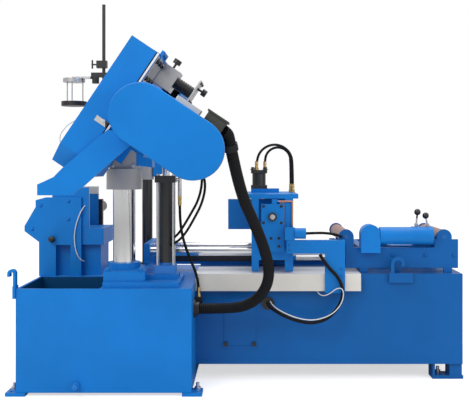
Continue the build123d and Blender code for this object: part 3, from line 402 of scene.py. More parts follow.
@dataclass(frozen=True)
class Finish:
    """A surface finish with tone drift, fine relief, worn edges and dust, and the record's slot for it."""

    name: str
    colour: Colour
    worn_colour: Colour = (0.16, 0.17, 0.18)
    metallic: float = 0.0
    roughness: tuple[float, float] = (0.30, 0.42)
    drift: float = 0.10
    wear: float = 0.35
    dust: float = 0.12
    fine: float = 450.0
    relief: float = 0.05
    stretch: Point = (1.0, 1.0, 1.0)
    edge: float = 0.0025
    coat: float = 0.0
    specular: float = 0.5
    zones: tuple[Zone, ...] = ()
    slot: str = "bright_steel"

    def tinted(self, share: float) -> Colour:
        """Return the colour made lighter or darker by a share."""
        return tuple(min(1.0, channel * (1.0 + share)) for channel in self.colour)

    def build(self) -> Material:
        """Make the material.

        Returns:
            The finished material.
        """
        material = bpy.data.materials.new(self.name)
        material.use_nodes = True
        material.diffuse_color = (*self.colour, 1.0)
        nodes = Nodes(material.node_tree)
        shader = material.node_tree.nodes["Principled BSDF"]
        wear = nodes.add("ShaderNodeGroup", node_tree=EFFECTS.wear, Radius=self.edge, Amount=self.wear)
        dust = nodes.add("ShaderNodeGroup", node_tree=EFFECTS.dust, Amount=self.dust)
        grain = nodes.add("ShaderNodeGroup", node_tree=EFFECTS.grain, Fine=self.fine)
        for axis, amount in zip(Axis, self.stretch):
            grain.inputs[f"Stretch {axis.value}"].default_value = amount
        tone = grain.outputs["Tone"]
        colour = nodes.mix(tone, self.tinted(-self.drift), self.tinted(self.drift))
        rough = nodes.spread(tone, 0.0, 1.0, self.roughness)
        surface = (colour, rough, self.metallic)
        for zone in self.zones:
            surface = zone.lay_over(nodes, surface)
        colour, rough, metal = surface
        colour = nodes.mix(dust.outputs["Mask"], colour, DUST_COLOUR)
        colour = nodes.mix(wear.outputs["Mask"], colour, self.worn_colour)
        bump = nodes.add("ShaderNodeBump", Strength=self.relief, Distance=BUMP_DEPTH)
        nodes.join(grain.outputs["Height"], bump.inputs["Height"])
        nodes.join(wear.outputs["Normal"], bump.inputs["Normal"])
        values = {"Base Color": colour, "Roughness": rough, "Normal": bump.outputs[0], "Metallic": metal,
                  "Specular IOR Level": self.specular, "Coat Weight": self.coat,
                  "Coat Roughness": COAT_ROUGHNESS}
        for title, value in values.items():
            nodes.feed(shader.inputs[title], value)
        return material


BRIGHT: Colour = (0.60, 0.60, 0.61)
BLACK: Colour = (0.014, 0.014, 0.015)
BLUE: Colour = (0.004, 0.196, 0.620)
DEEP: Colour = (0.003, 0.112, 0.385)
# Painted shade: a darker blue laid on the inside of the chip tank, where shade falls
PAINTED_TANK_SHADE: Colour = (0.003, 0.058, 0.165)
# A painted highlight: near white laid on the drip tray's top face, where light falls
PAINTED_TRAY_HIGHLIGHT: Colour = (0.92, 0.92, 0.91)

# The chip tank's inside in the part frame, a millimetre into its walls; the base's blue is darkened there as
# painted shade
TANK_WALLS = ((Axis.X, -0.996, True), (Axis.X, -0.631, False), (Axis.Y, -0.389, True), (Axis.Y, 0.021, False))

BLUE_PAINT = Finish("blue_enamel", BLUE, worn_colour=(0.05, 0.16, 0.36), specular=0.22, slot="blue_paint")
# The base's blue, with painted shade over the chip tank's inside below 480 mm
BASE_FINISH = replace(
    BLUE_PAINT, name="base_blue_with_painted_tank_shade",
    zones=(Zone(Axis.Z, 0.480, PAINTED_TANK_SHADE, above=False, further=TANK_WALLS),))
FEET_FINISH = replace(BLUE_PAINT, name="feet_and_hooks_blue", zones=(Zone(Axis.X, 0.3, DEEP),))
CARRIAGE_FINISH = replace(
    BLUE_PAINT, name="carriage_blue", zones=(Zone(Axis.X, 0.284, BRIGHT, metallic=1.0, roughness=0.2),))
NEAR_JAW_FINISH = replace(
    BLUE_PAINT, name="blue_with_far_face",
    zones=(Zone(Axis.Y, 0.059, BRIGHT, metallic=1.0, roughness=0.3),))

DEEP_BLUE = Finish(
    "deep_blue_enamel", DEEP, worn_colour=(0.04, 0.12, 0.28), specular=0.2, slot="deep_blue_paint")
FAR_JAW_FINISH = replace(
    DEEP_BLUE, name="deep_blue_with_bright_top", zones=(Zone(Axis.Z, 0.890, BRIGHT, metallic=1.0),))
ACCESS_FINISH = replace(DEEP_BLUE, name="access_panel_blue", zones=(Zone(Axis.X, -0.2, BLUE, above=False),))
MOTOR_FINISH = replace(DEEP_BLUE, name="motor_blue", zones=(Zone(Axis.X, -0.066, BLACK, roughness=0.45),))

BLACK_PAINT = Finish(
    "black_enamel", BLACK, worn_colour=(0.12, 0.12, 0.12), roughness=(0.28, 0.40), coat=0.2,
    slot="black_paint")
CYLINDER_FINISH = replace(
    BLACK_PAINT, name="black_with_blue_foot", zones=(Zone(Axis.Z, 0.583, BLUE, above=False),))
LAMP_FINISH = replace(
    BLACK_PAINT, name="lamp_and_rod_mix", coat=0.0, edge=0.001,
    zones=(Zone(Axis.X, -0.730, BRIGHT, metallic=1.0, roughness=0.25, above=False),
           Zone(Axis.Z, 1.3515, BLACK, above=False)))

GREY_PAINT = Finish("light_grey_enamel", (0.34, 0.34, 0.345), worn_colour=(0.25, 0.25, 0.25), coat=0.2)
# The drip tray's cream. Its top face above 519.5 mm is painted near white as a painted highlight, and it
# gathers no dust
CREAM_PAINT = Finish(
    "cream_enamel_with_painted_top_highlight", (0.76, 0.73, 0.67), worn_colour=(0.35, 0.33, 0.30), dust=0.0, coat=0.2,
    zones=(Zone(Axis.Z, 0.5195, PAINTED_TRAY_HIGHLIGHT, roughness=0.4),))
WHITE_PAINT = Finish(
    "white_enamel", (0.80, 0.80, 0.80), worn_colour=(0.4, 0.4, 0.4), coat=0.2, slot="cream_paint")
OLIVE_PAINT = Finish("olive_box_paint", (0.045, 0.046, 0.036), worn_colour=(0.16, 0.16, 0.14))

CHROME = Finish(
    "hard_chrome", (0.80, 0.80, 0.81), metallic=1.0, roughness=(0.08, 0.16), drift=0.03, wear=0.0, dust=0.0,
    fine=120.0, relief=0.02, stretch=(1.0, 1.0, 40.0))
BAR_CHROME = Finish(
    "ground_bar_chrome", (0.78, 0.78, 0.79), metallic=1.0, roughness=(0.10, 0.20), drift=0.04, wear=0.0,
    dust=0.02, fine=120.0, relief=0.02, stretch=(30.0, 1.0, 1.0))
LATCH_FINISH = Finish(
    "latch_chrome", (0.80, 0.80, 0.81), metallic=1.0, roughness=(0.10, 0.18), drift=0.03, wear=0.0,
    dust=0.0, edge=0.0008, zones=(Zone(Axis.X, -0.515, BLACK, roughness=0.4),))
STEEL = Finish(
    "ground_steel", BRIGHT, worn_colour=(0.75, 0.75, 0.76), metallic=1.0, roughness=(0.26, 0.40),
    drift=0.08, dust=0.05, fine=60.0, relief=0.10, stretch=(1.0, 1.0, 25.0))
FASTENER_FINISH = Finish("bright_fasteners", BRIGHT, metallic=1.0, roughness=(0.22, 0.34), edge=0.001)
LEVER_FINISH = Finish(
    "ball_lever", BRIGHT, metallic=1.0, roughness=(0.22, 0.32), edge=0.001,
    zones=(Zone(Axis.Z, 0.778, BLACK, roughness=0.25),))
CAST_IRON = Finish(
    "machined_iron", (0.22, 0.22, 0.23), metallic=0.9, roughness=(0.42, 0.58), fine=260.0, relief=0.20)
ROLLER_FINISH = Finish(
    "primed_roller_steel", (0.42, 0.22, 0.18), worn_colour=(0.55, 0.52, 0.50), metallic=0.55,
    roughness=(0.30, 0.46), drift=0.22, fine=90.0, relief=0.08, stretch=(1.0, 20.0, 1.0),
    zones=(Zone(Axis.Y, -0.055, DEEP, above=False), Zone(Axis.Y, 0.377, DEEP)))
BRASS_FINISH = Finish(
    "turned_brass", (0.62, 0.42, 0.16), worn_colour=(0.8, 0.65, 0.35), metallic=1.0, roughness=(0.20, 0.32),
    fine=300.0, edge=0.0006)
COPPER_FINISH = Finish(
    "drawn_copper", (0.62, 0.28, 0.16), worn_colour=(0.8, 0.5, 0.35), metallic=1.0, roughness=(0.25, 0.38),
    fine=300.0, edge=0.0006)

PLASTIC = Finish(
    "black_moulding", BLACK, worn_colour=(0.06, 0.06, 0.06), roughness=(0.38, 0.50), fine=900.0,
    relief=0.12, edge=0.0012, slot="black_paint")
BASE_FITTING_FINISH = Finish(
    "base_fittings_mix", BLACK, roughness=(0.36, 0.48), edge=0.001,
    zones=(Zone(Axis.X, -0.5, BLUE, above=False),))
RUBBER = Finish(
    "black_rubber", (0.008, 0.008, 0.009), worn_colour=(0.05, 0.05, 0.05), roughness=(0.48, 0.62), wear=0.1,
    dust=0.04, fine=700.0, relief=0.15, edge=0.0008, specular=0.14, slot="black_rubber")
CABLE_WHITE = Finish(
    "white_cable_jacket", (0.74, 0.74, 0.73), worn_colour=(0.5, 0.5, 0.5), roughness=(0.40, 0.52), wear=0.0,
    fine=700.0, relief=0.1, edge=0.0006, slot="cream_paint")


def make_object(name: str, shape: BMesh, material: Material, smooth: bool = False) -> Object:
    """Turn a bmesh into an object in the scene.

    Args:
        name: The object's name.
        shape: Its mesh, in the part frame. It is freed.
        material: Its material.
        smooth: Whether its faces shade smoothly.

    Returns:
        The new object.
    """
    mesh = bpy.data.meshes.new(name)
    for face in shape.faces:
        face.smooth = smooth
    shape.to_mesh(mesh)
    shape.free()
    mesh.materials.append(material)
    item = bpy.data.objects.new(name, mesh)
    bpy.context.scene.collection.objects.link(item)
    return item


@dataclass
class Workshop:
    """Keeps built materials and makes the pieces that ride on one body."""

    materials: dict[str, Material] = field(default_factory=dict)

    def material(self, finish: Finish) -> Material:
        """Return a finish's material, made on first use."""
        if finish.name not in self.materials:
            self.materials[finish.name] = finish.build()
        return self.materials[finish.name]

    def dress(self, finish: Finish, *names: str) -> None:
        """Give a finish to CAD nodes.

        Args:
            finish: The finish.
            *names: The nodes' names.
        """
        for name in names:
            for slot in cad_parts[name].material_slots:
                slot.material = self.material(finish)
            LOG.info("%s wears %s", name, finish.name)

    def piece(self, name: str, shape: BMesh, finish: Finish, body: Body, smooth: bool = False) -> Object:
        """Make an object that rides on a body.

        Args:
            name: The piece's name.
            shape: Its mesh, in the part frame. It is freed.
            finish: Its finish.
            body: The body that carries it.
            smooth: Whether its faces shade smoothly.

        Returns:
            The new object.
        """
        item = make_object(name, shape, self.material(finish), smooth)
        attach(item, body.value)
        LOG.info("%s rides on %s", name, body.value)
        return item


SHOP = Workshop()

# A bolt's washer and chamfer as shares of its head's width, and the washer's height as one of the head's
WASHER_FOOT = 0.72
WASHER_TOP = 0.70
WASHER_HEIGHT = 0.25
HEAD_CHAMFER = 0.07
# Limits in metres that keep turned pieces free of doubled points
LEAST_RADIUS = 0.00001
MERGE_DISTANCE = 0.00002
# Steps round turned pieces and washers
TURN_STEPS = 24
# Steps along and round a cord, and the depth of the groove at the four stops of one rib
LINE_STEPS = 24
ROUND_STEPS = 6
HOSE_SEGMENTS = 28
RIB_PROFILE = (1.0, 0.25, 0.0, 0.25)


def facing(axis: Vector, spot: Vector) -> Matrix:
    """Return the matrix that turns +Z to an axis and moves to a spot."""
    return Matrix.Translation(spot) @ axis.to_track_quat("Z", "Y").to_matrix().to_4x4()


def add_slab(shape: BMesh, middle: Matrix, size: Point, bevel: float = 0.0008) -> None:
    """Add a slab with bevelled edges.

    Args:
        shape: The mesh to add to.
        middle: Where the slab's middle is and how it is turned.
        size: Its three lengths in metres.
        bevel: The bevel's width in metres.
    """
    made = bmesh.ops.create_cube(shape, size=1.0)
    bmesh.ops.scale(shape, vec=size, verts=made["verts"])
    edges = list({edge for vert in made["verts"] for edge in vert.link_edges})
    cut = bmesh.ops.bevel(shape, geom=edges, offset=bevel, segments=2, profile=0.5, affect="EDGES",
                          material=-1)
    verts = {vert for vert in made["verts"] if vert.is_valid}
    verts |= {vert for face in cut["faces"] for vert in face.verts}
    bmesh.ops.transform(shape, matrix=middle, verts=list(verts))


def add_bolt(shape: BMesh, turn: Matrix, across: float, height: float) -> None:
    """Add a hexagon bolt head on its washer.

    Args:
        shape: The mesh to add to.
        turn: Where the washer's underside is, with +Z out of the face.
        across: Width over the head's corners in metres.
        height: Height of the head in metres.
    """
    washer = bmesh.ops.create_cone(shape, cap_ends=True, segments=TURN_STEPS, depth=height * WASHER_HEIGHT,
                                   radius1=across * WASHER_FOOT, radius2=across * WASHER_TOP)
    bmesh.ops.translate(shape, vec=(0.0, 0.0, height * WASHER_HEIGHT / 2), verts=washer["verts"])
    head = bmesh.ops.create_cone(shape, cap_ends=True, segments=6, radius1=across / 2, radius2=across / 2,
                                 depth=height)
    bmesh.ops.translate(shape, vec=(0.0, 0.0, height * (WASHER_HEIGHT + 0.5)), verts=head["verts"])
    top = [edge for edge in {edge for vert in head["verts"] for edge in vert.link_edges}
           if all(vert.co.z > height for vert in edge.verts)]
    cut = bmesh.ops.bevel(shape, geom=top, offset=across * HEAD_CHAMFER, segments=2, profile=0.5,
                          affect="EDGES", material=-1)
    verts = set(washer["verts"]) | {vert for vert in head["verts"] if vert.is_valid}
    verts |= {vert for face in cut["faces"] for vert in face.verts}
    bmesh.ops.transform(shape, matrix=turn, verts=list(verts))


def add_turned(shape: BMesh, profile: Sequence[tuple[float, float]], turn: Matrix) -> None:
    """Add a turned piece by spinning a profile.

    Args:
        shape: The mesh to add to.
        profile: Radius and height pairs in metres, from the foot to the top.
        turn: Where the foot is, with +Z along the axis.
    """
    own = bmesh.new()
    verts = [own.verts.new((max(radius, LEAST_RADIUS), 0.0, height)) for radius, height in profile]
    edges = [own.edges.new(pair) for pair in zip(verts, verts[1:])]
    bmesh.ops.spin(own, geom=verts + edges, cent=(0, 0, 0), axis=(0, 0, 1), dvec=(0, 0, 0), angle=math.tau,
                   steps=TURN_STEPS, use_merge=True)
    bmesh.ops.remove_doubles(own, verts=own.verts, dist=MERGE_DISTANCE)
    bmesh.ops.recalc_face_normals(own, faces=own.faces)
    bmesh.ops.transform(own, matrix=turn, verts=own.verts)
    held = bpy.data.meshes.new("turned")
    own.to_mesh(held)
    own.free()
    shape.from_mesh(held)
    bpy.data.meshes.remove(held)


@dataclass(frozen=True)
class BoltSet:
    """Equal bolt heads on one face. The spots are in the part frame, the sizes in metres."""

    name: str
    spots: tuple[Vector, ...]
    axis: Vector
    finish: Finish
    body: Body
    across: float = 0.016
    height: float = 0.007

    def build(self) -> None:
        """Build the heads as one piece."""
        shape = bmesh.new()
        for spot in self.spots:
            add_bolt(shape, facing(self.axis, spot), self.across, self.height)
        SHOP.piece(self.name, shape, self.finish, self.body)


def route_spline(name: str, points: Sequence[Vector], thickness: float) -> Object:
    """Make a smooth open curve with the route's points as its control points.

    Args:
        name: The curve's name.
        points: The route in the part frame.
        thickness: Bevel radius in metres, or 0 for a bare line.

    Returns:
        The curve object, linked to the scene.
    """
    curve = bpy.data.curves.new(name, "CURVE")
    curve.dimensions = "3D"
    spline = curve.splines.new("NURBS")
    spline.points.add(len(points) - 1)
    for knot, spot in zip(spline.points, points):
        knot.co = (*spot, 1.0)
    spline.order_u = 3
    spline.use_endpoint_u = True
    spline.resolution_u = LINE_STEPS
    curve.bevel_depth = thickness
    curve.bevel_resolution = ROUND_STEPS
    curve.use_fill_caps = thickness > 0
    item = bpy.data.objects.new(name, curve)
    bpy.context.scene.collection.objects.link(item)
    return item


def read_line(name: str, points: Sequence[Vector]) -> list[Vector]:
    """Read the points along a route's smooth line.

    Args:
        name: A name for the passing curve.
        points: The route in the part frame.

    Returns:
        Points along the line, in order.
    """
    line = route_spline(name, points, 0.0)
    mesh = bpy.data.meshes.new_from_object(line)
    spots = [vert.co.copy() for vert in mesh.vertices]
    bpy.data.meshes.remove(mesh)
    curve = line.data
    bpy.data.objects.remove(line)
    bpy.data.curves.remove(curve)
    return spots


def line_length(spots: Sequence[Vector]) -> float:
    """Return the length of a line through spots."""
    return sum((after - before).length for before, after in zip(spots, spots[1:]))


def even_steps(spots: Sequence[Vector], count: int) -> list[tuple[Vector, Vector]]:
    """Walk a line in equal steps.

    Args:
        spots: Points along the line.
        count: Number of steps.

    Returns:
        A place and a direction for each stop, one more than the steps.
    """
    total = line_length(spots)
    stops = []
    run = 0.0
    leg = 0
    for step in range(count + 1):
        goal = total * step / count
        while leg < len(spots) - 2 and run + (spots[leg + 1] - spots[leg]).length < goal:
            run += (spots[leg + 1] - spots[leg]).length
            leg += 1
        way = spots[leg + 1] - spots[leg]
        share = min(1.0, (goal - run) / way.length)
        stops.append((spots[leg] + way * share, way.normalized()))
    return stops


def ribbed_tube(stops: Sequence[tuple[Vector, Vector]], radius: float, groove: float) -> BMesh:
    """Make a hose with rounded ribs.

    Args:
        stops: Places and directions along its middle, four to a rib.
        radius: Radius over the ribs in metres.
        groove: Depth between the ribs in metres.

    Returns:
        The mesh, closed at both ends.
    """
    shape = bmesh.new()
    rings = []
    for count, (spot, way) in enumerate(stops):
        side = (Side.RIGHT.axis - way * way.x).normalized()
        turn = Matrix((side, way.cross(side), way)).transposed().to_4x4()
        depth = groove * RIB_PROFILE[count % len(RIB_PROFILE)]
        ring = bmesh.ops.create_circle(shape, cap_ends=False, segments=HOSE_SEGMENTS, radius=radius - depth,
                                       matrix=Matrix.Translation(spot) @ turn)
        rings.append(list({edge for vert in ring["verts"] for edge in vert.link_edges}))
    for before, after in zip(rings, rings[1:]):
        bmesh.ops.bridge_loops(shape, edges=before + after)
    bmesh.ops.holes_fill(shape, edges=shape.edges)
    bmesh.ops.recalc_face_normals(shape, faces=shape.faces)
    return shape


@dataclass
class HeadHose:
    """A hose from the head to the base. Its route is in machine millimetres."""

    name: str
    route: Route
    radius: float
    groove: float
    ribs: int
    stands_for: str = ""
    stiffness: Stiffness = Stiffness.MEDIUM

    def build(self) -> None:
        points = [place(*spot) for spot in self.route]
        spots = read_line(self.name + "_line", points)
        stops = even_steps(spots, self.ribs * len(RIB_PROFILE))
        shape = ribbed_tube(stops, self.radius, self.groove)
        hose = make_object(self.name, shape, SHOP.material(RUBBER), smooth=True)
        if self.stands_for:
            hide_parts(self.stands_for)
        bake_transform(hose)
        LOG.info("%s %.3f m", self.name, line_length(spots))


CONDUIT_RADIUS = 0.025
CONDUIT_GROOVE = 0.0028
CONDUIT_RIBS = 120
HEAD_HOSE_RADIUS = 0.006
HEAD_HOSE_GROOVE = 0.0003
HEAD_HOSE_RIBS = 90
LOOP_CABLE_D = 0.016
HOSE_D = 0.013
CABLE_D = 0.005

HEAD_HOSES: tuple[HeadHose, ...] = (
    HeadHose(
        "conduit_hose_ribbed",
        ((-76, -330, 1100), (-42, -250, 928), (17, -170, 796), (70, -80, 658), (90, 0, 542),
         (59, 60, 450), (-14, 110, 388), (-105, 150, 369), (-237, 150, 369)),
        CONDUIT_RADIUS, CONDUIT_GROOVE, CONDUIT_RIBS, stands_for="conduit_hose", stiffness=Stiffness.STIFF),
    HeadHose(
        "head_hose_near",
        ((-370.1, -150, 1184.6), (-328.5, -150, 1156.8), (-262, -105, 1105), (-222, -20, 1040),
         (-217, 60, 965), (-238, 108, 880), (-280, 140, 808), (-316, 156, 748), (-345, 162, 708),
         (-372.6, 163, 690)),
        HEAD_HOSE_RADIUS, HEAD_HOSE_GROOVE, HEAD_HOSE_RIBS),
    HeadHose(
        "head_hose_far",
        ((-386.8, -120, 1159.7), (-345.2, -120, 1131.9), (-268, -75, 1082), (-217, 0, 1020),
         (-202, 70, 950), (-222, 118, 865), (-262, 146, 790), (-300, 159, 725), (-336, 163, 684),
         (-372.6, 163, 664)),
        HEAD_HOSE_RADIUS, HEAD_HOSE_GROOVE, HEAD_HOSE_RIBS),
)

# A ferrule's outline as shares of the cord's radius and heights in metres, and the nut under it
FERRULE_PROFILE = ((0.9, 0.012), (1.35, 0.012), (1.35, 0.020), (1.22, 0.021), (1.22, 0.025), (1.35, 0.026),
                   (1.35, 0.034), (1.22, 0.035), (1.22, 0.039), (1.3, 0.040), (1.3, 0.044), (1.02, 0.045))
FERRULE_NUT = 1.65
FERRULE_NUT_HEIGHT = 0.012


@dataclass
class RoundCord:
    """A plain round hose or cable between two fixed ends. Its route is in machine millimetres."""

    name: str
    route: Route
    diameter: float
    body: Body
    stands_for: str = ""
    finish: Finish = RUBBER
    stiffness: Stiffness = Stiffness.MEDIUM
    fittings: tuple[bool, bool] = (False, False)

    def build(self) -> None:
        points = [place(*spot) for spot in self.route]
        spots = read_line(self.name + "_line", points)
        item = route_spline(self.name, points, self.diameter / 2)
        item.data.materials.append(SHOP.material(self.finish))
        if self.stands_for:
            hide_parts(self.stands_for)
        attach(item, self.body.value)
        ends = ((spots[0], spots[1] - spots[0]), (spots[-1], spots[-2] - spots[-1]))
        ferrules = [self.add_ferrule(count, *end) for count, end in enumerate(ends) if self.fittings[count]]
        LOG.info("%s %.3f m", self.name, line_length(spots))

    def add_ferrule(self, count: int, spot: Vector, way: Vector) -> Object:
        """Add the crimped brass ferrule and its nut at one end.

        Args:
            count: Which end it is.
            spot: The end's place.
            way: The way into the cord.

        Returns:
            The ferrule.
        """
        radius = self.diameter / 2
        shape = bmesh.new()
        turn = facing(way.normalized(), spot)
        add_turned(shape, [(radius * share, height) for share, height in FERRULE_PROFILE], turn)
        nut = bmesh.ops.create_cone(shape, cap_ends=True, segments=6, radius1=radius * FERRULE_NUT,
                                    radius2=radius * FERRULE_NUT, depth=FERRULE_NUT_HEIGHT)
        bmesh.ops.translate(shape, vec=(0.0, 0.0, FERRULE_NUT_HEIGHT / 2), verts=nut["verts"])
        bmesh.ops.transform(shape, matrix=turn, verts=nut["verts"])
        return SHOP.piece(f"{self.name}_ferrule_{count}", shape, BRASS_FINISH, self.body)


CORDS: tuple[RoundCord, ...] = (
    RoundCord(
        "carriage_cable_run",
        ((87, 272.9, 372), (87, 236, 372), (96, 205, 367), (122, 178, 352), (165, 165, 330),
         (225, 170, 306), (300, 188, 292), (375, 204, 312), (433, 210, 380), (445, 212, 452),
         (418, 213, 512), (376, 214, 552), (348, 221, 590), (336, 236, 612)),
        LOOP_CABLE_D, Body.BASE, "carriage_cable", stiffness=Stiffness.LIMP),
    RoundCord(
        "lift_hose_run",
        ((-332, 180, 894.7), (-332, 180, 815), (-326, 184, 735), (-308, 192, 660), (-282, 202, 590),
         (-258, 212, 530), (-245, 218, 470), (-245, 218, 415.3)),
        HOSE_D, Body.BASE, "base_hoses", fittings=(True, True)),
    RoundCord(
        "stop_hose_run",
        ((268.3, 240, 714), (310, 240, 716), (362, 244, 716), (410, 256, 708), (436, 274, 698),
         (447, 298, 692), (447, 324.7, 692)),
        HOSE_D, Body.BASE, "base_hoses"),
    RoundCord(
        "signal_cable_run",
        ((98, 272.6, 384), (97, 250, 388), (100, 212, 386), (118, 170, 370), (165, 149, 346),
         (225, 153, 322), (300, 171, 308), (380, 188, 328), (428, 195, 372), (446, 199, 420),
         (440, 203, 456), (412, 206, 456), (385, 211, 432), (354, 221, 416), (331, 238, 422),
         (322, 262, 438), (321, 284.5, 452)),
        CABLE_D, Body.BASE, finish=CABLE_WHITE, stiffness=Stiffness.LIMP),
    RoundCord(
        "vise_cable_run",
        ((-834, 444.6, 838), (-838, 432, 832), (-856, 424, 800), (-876, 421, 740), (-884, 420, 680),
         (-878, 420, 620), (-862, 424, 578), (-846, 434, 560), (-838, 444.6, 556)),
        CABLE_D, Body.BASE, finish=CABLE_WHITE, stiffness=Stiffness.LIMP),
    RoundCord(
        "lamp_cable_run",
        ((-715, 300, 1253.4), (-738, 300, 1268), (-790, 300, 1284), (-853, 300, 1262),
         (-900, 300, 1228), (-927, 300, 1189), (-927, 300, 1152), (-905, 300, 1126), (-862, 300, 1122),
         (-812, 300, 1148), (-765, 300, 1178.4)),
        CABLE_D, Body.HEAD, finish=CABLE_WHITE, stiffness=Stiffness.LIMP),
    RoundCord(
        "clamp_hose_near",
        ((34, 552, 1018.3), (34, 552, 1058), (46.6, 553, 1105), (81, 554, 1139), (128, 555, 1152),
         (175, 554, 1139), (209.4, 553, 1105), (222, 552, 1058), (222, 552, 901.3)),
        HOSE_D, Body.CARRIAGE, "clamp_hoses", fittings=(True, True)),
    RoundCord(
        "clamp_hose_far",
        ((78, 602, 1018.3), (78, 602, 1070), (87, 603, 1104), (112, 604, 1129), (146, 604, 1138),
         (180, 604, 1129), (205, 603, 1104), (214, 602, 1070), (214, 602, 901.3)),
        HOSE_D, Body.CARRIAGE, "clamp_hoses", fittings=(True, True)),
)


@dataclass
class SawHead:
    """The saw head. Middles of plates are on the head's axes in millimetres, sizes in metres."""

    seal_middle: Point = (59.0, -486.0, 0.0)
    seal_size: Point = (0.004, 0.003, 0.576)
    strip_middle: Point = (65.5, -486.0, 0.0)
    strip_size: Point = (0.008, 0.003, 0.576)
    plate_middle: Point = (71.5, -380.0, 222.0)
    plate_size: Point = (0.003, 0.190, 0.118)
    elbow_route: Route = ((-80, -339, 1120), (-85, -353, 1148), (-91, -374, 1168), (-107, -390, 1178))
    elbow_ribs: int = 10
    sleeve_bolts: BoltSet = BoltSet(
        "sleeve_bolts", tuple(place(x, 120, z) for x in (-642, -542) for z in (1040, 1116)),
        Side.FRONT.axis, FASTENER_FINISH, Body.HEAD)
    plate_screws: BoltSet = BoltSet(
        "head_plate_screws", tuple(on_head(73, y, u) for y in (-455, -380, -305) for u in (182, 262)),
        HEAD_AXLE, BLACK_PAINT, Body.HEAD, across=0.018, height=0.009)
    manifold_bolts: BoltSet = BoltSet(
        "manifold_bolts", tuple(on_head(243, y, u) for y in (-265, -175) for u in (205, 295)),
        HEAD_AXLE, BLACK_PAINT, Body.HEAD, across=0.011, height=0.005)

    def build(self) -> None:
        """Dress the head's nodes and build its small pieces."""
        SHOP.dress(BLUE_PAINT, "bow_frame", "front_arm", "belt_guard", "near_wheel_cover", "far_wheel_cover",
                   "far_guide_arm", "gearbox", "tension_slide")
        SHOP.dress(MOTOR_FINISH, "drive_motor")
        SHOP.dress(GREY_PAINT, "head_sleeves")
        SHOP.dress(OLIVE_PAINT, "terminal_box")
        SHOP.dress(LAMP_FINISH, "lamp_and_rod")
        SHOP.dress(CHROME, "lift_rod")
        SHOP.dress(LATCH_FINISH, "near_cover_latch")
        SHOP.dress(STEEL, "drive_plate", "valve_manifold", "saw_band", "gearbox_pulley", "motor_pulley",
                   "chip_brush", "tension_handwheel")
        SHOP.dress(CAST_IRON, "drive_wheel", "idler_wheel")
        SHOP.dress(PLASTIC, "solenoid_coils", "pressure_knob", "feed_knob")
        SHOP.dress(RUBBER, "drive_belt")
        self.add_plate("cover_seal", self.seal_middle, self.seal_size, RUBBER)
        self.add_plate("cover_edge_strip", self.strip_middle, self.strip_size, WHITE_PAINT)
        self.sleeve_bolts.build()
        self.add_plate("head_plate", self.plate_middle, self.plate_size, STEEL)
        self.plate_screws.build()
        self.add_elbow()
        self.manifold_bolts.build()

    def add_plate(self, name: str, middle: Point, size: Point, finish: Finish) -> None:
        """Add a bevelled plate or strip that leans with the head.

        Args:
            name: The piece's name.
            middle: Its middle on the head's axes.
            size: Its lengths along the axle, the band and the slope.
            finish: Its finish.
        """
        shape = bmesh.new()
        add_slab(shape, Matrix.Translation(on_head(*middle)) @ HEAD_TURN, size)
        SHOP.piece(name, shape, finish, Body.HEAD)

    def add_elbow(self) -> None:
        """Add the conduit's ribbed elbow from the terminal box to the gland."""
        line = read_line("elbow_line", [place(*spot) for spot in self.elbow_route])
        stops = even_steps(line, self.elbow_ribs * len(RIB_PROFILE))
        shape = ribbed_tube(stops, CONDUIT_RADIUS, CONDUIT_GROOVE)
        SHOP.piece("conduit_elbow", shape, RUBBER, Body.HEAD, smooth=True)


@dataclass
class MainBase:
    """The base with its tank, columns and main vise. Places are in machine millimetres, sizes in metres."""

    knob_place: Point = (-993, 430, 671)
    knob_profile: tuple[tuple[float, float], ...] = (
        (0.0, 0.0), (0.011, 0.0), (0.011, 0.003), (0.006, 0.005), (0.006, 0.012), (0.013, 0.016),
        (0.017, 0.023), (0.016, 0.031), (0.009, 0.036), (0.0, 0.037))
    bolt_sets: tuple[BoltSet, ...] = (
        BoltSet("panel_bolts",
                tuple(place(x, 430, z) for x, z in ((-916, 862), (-916, 771), (-1055, 840), (-1098, 721))),
                Side.FRONT.axis, BLUE_PAINT, Body.BASE, across=0.014, height=0.006),
        BoltSet("pedestal_bolts", tuple(place(x, y, 556) for x in (-655, -500) for y in (64, 300)),
                Side.TOP.axis, BLUE_PAINT, Body.BASE, across=0.024, height=0.012),
    )

    def build(self) -> None:
        """Dress the base's nodes and build its small pieces."""
        SHOP.dress(BASE_FINISH, "main_base")
        SHOP.dress(BLUE_PAINT, "column_pedestal", "exit_panel", "vise_bed")
        SHOP.dress(FEET_FINISH, "feet_and_hooks")
        SHOP.dress(CYLINDER_FINISH, "hydraulic_cylinders")
        SHOP.dress(BLACK_PAINT, "far_guide_post")
        SHOP.dress(CHROME, "main_column")
        SHOP.dress(NEAR_JAW_FINISH, "vise_fixed_jaw")
        SHOP.dress(FAR_JAW_FINISH, "vise_moving_jaw")
        SHOP.dress(FASTENER_FINISH, "steel_fasteners")
        SHOP.dress(BASE_FITTING_FINISH, "base_fittings")
        for bolt_set in self.bolt_sets:
            bolt_set.build()
        self.add_panel_knob()

    def add_panel_knob(self) -> None:
        """Add the black turned knob on the front of the exit panel."""
        shape = bmesh.new()
        add_turned(shape, self.knob_profile, facing(Side.FRONT.axis, place(*self.knob_place)))
        SHOP.piece("panel_knob", shape, PLASTIC, Body.BASE, smooth=True)


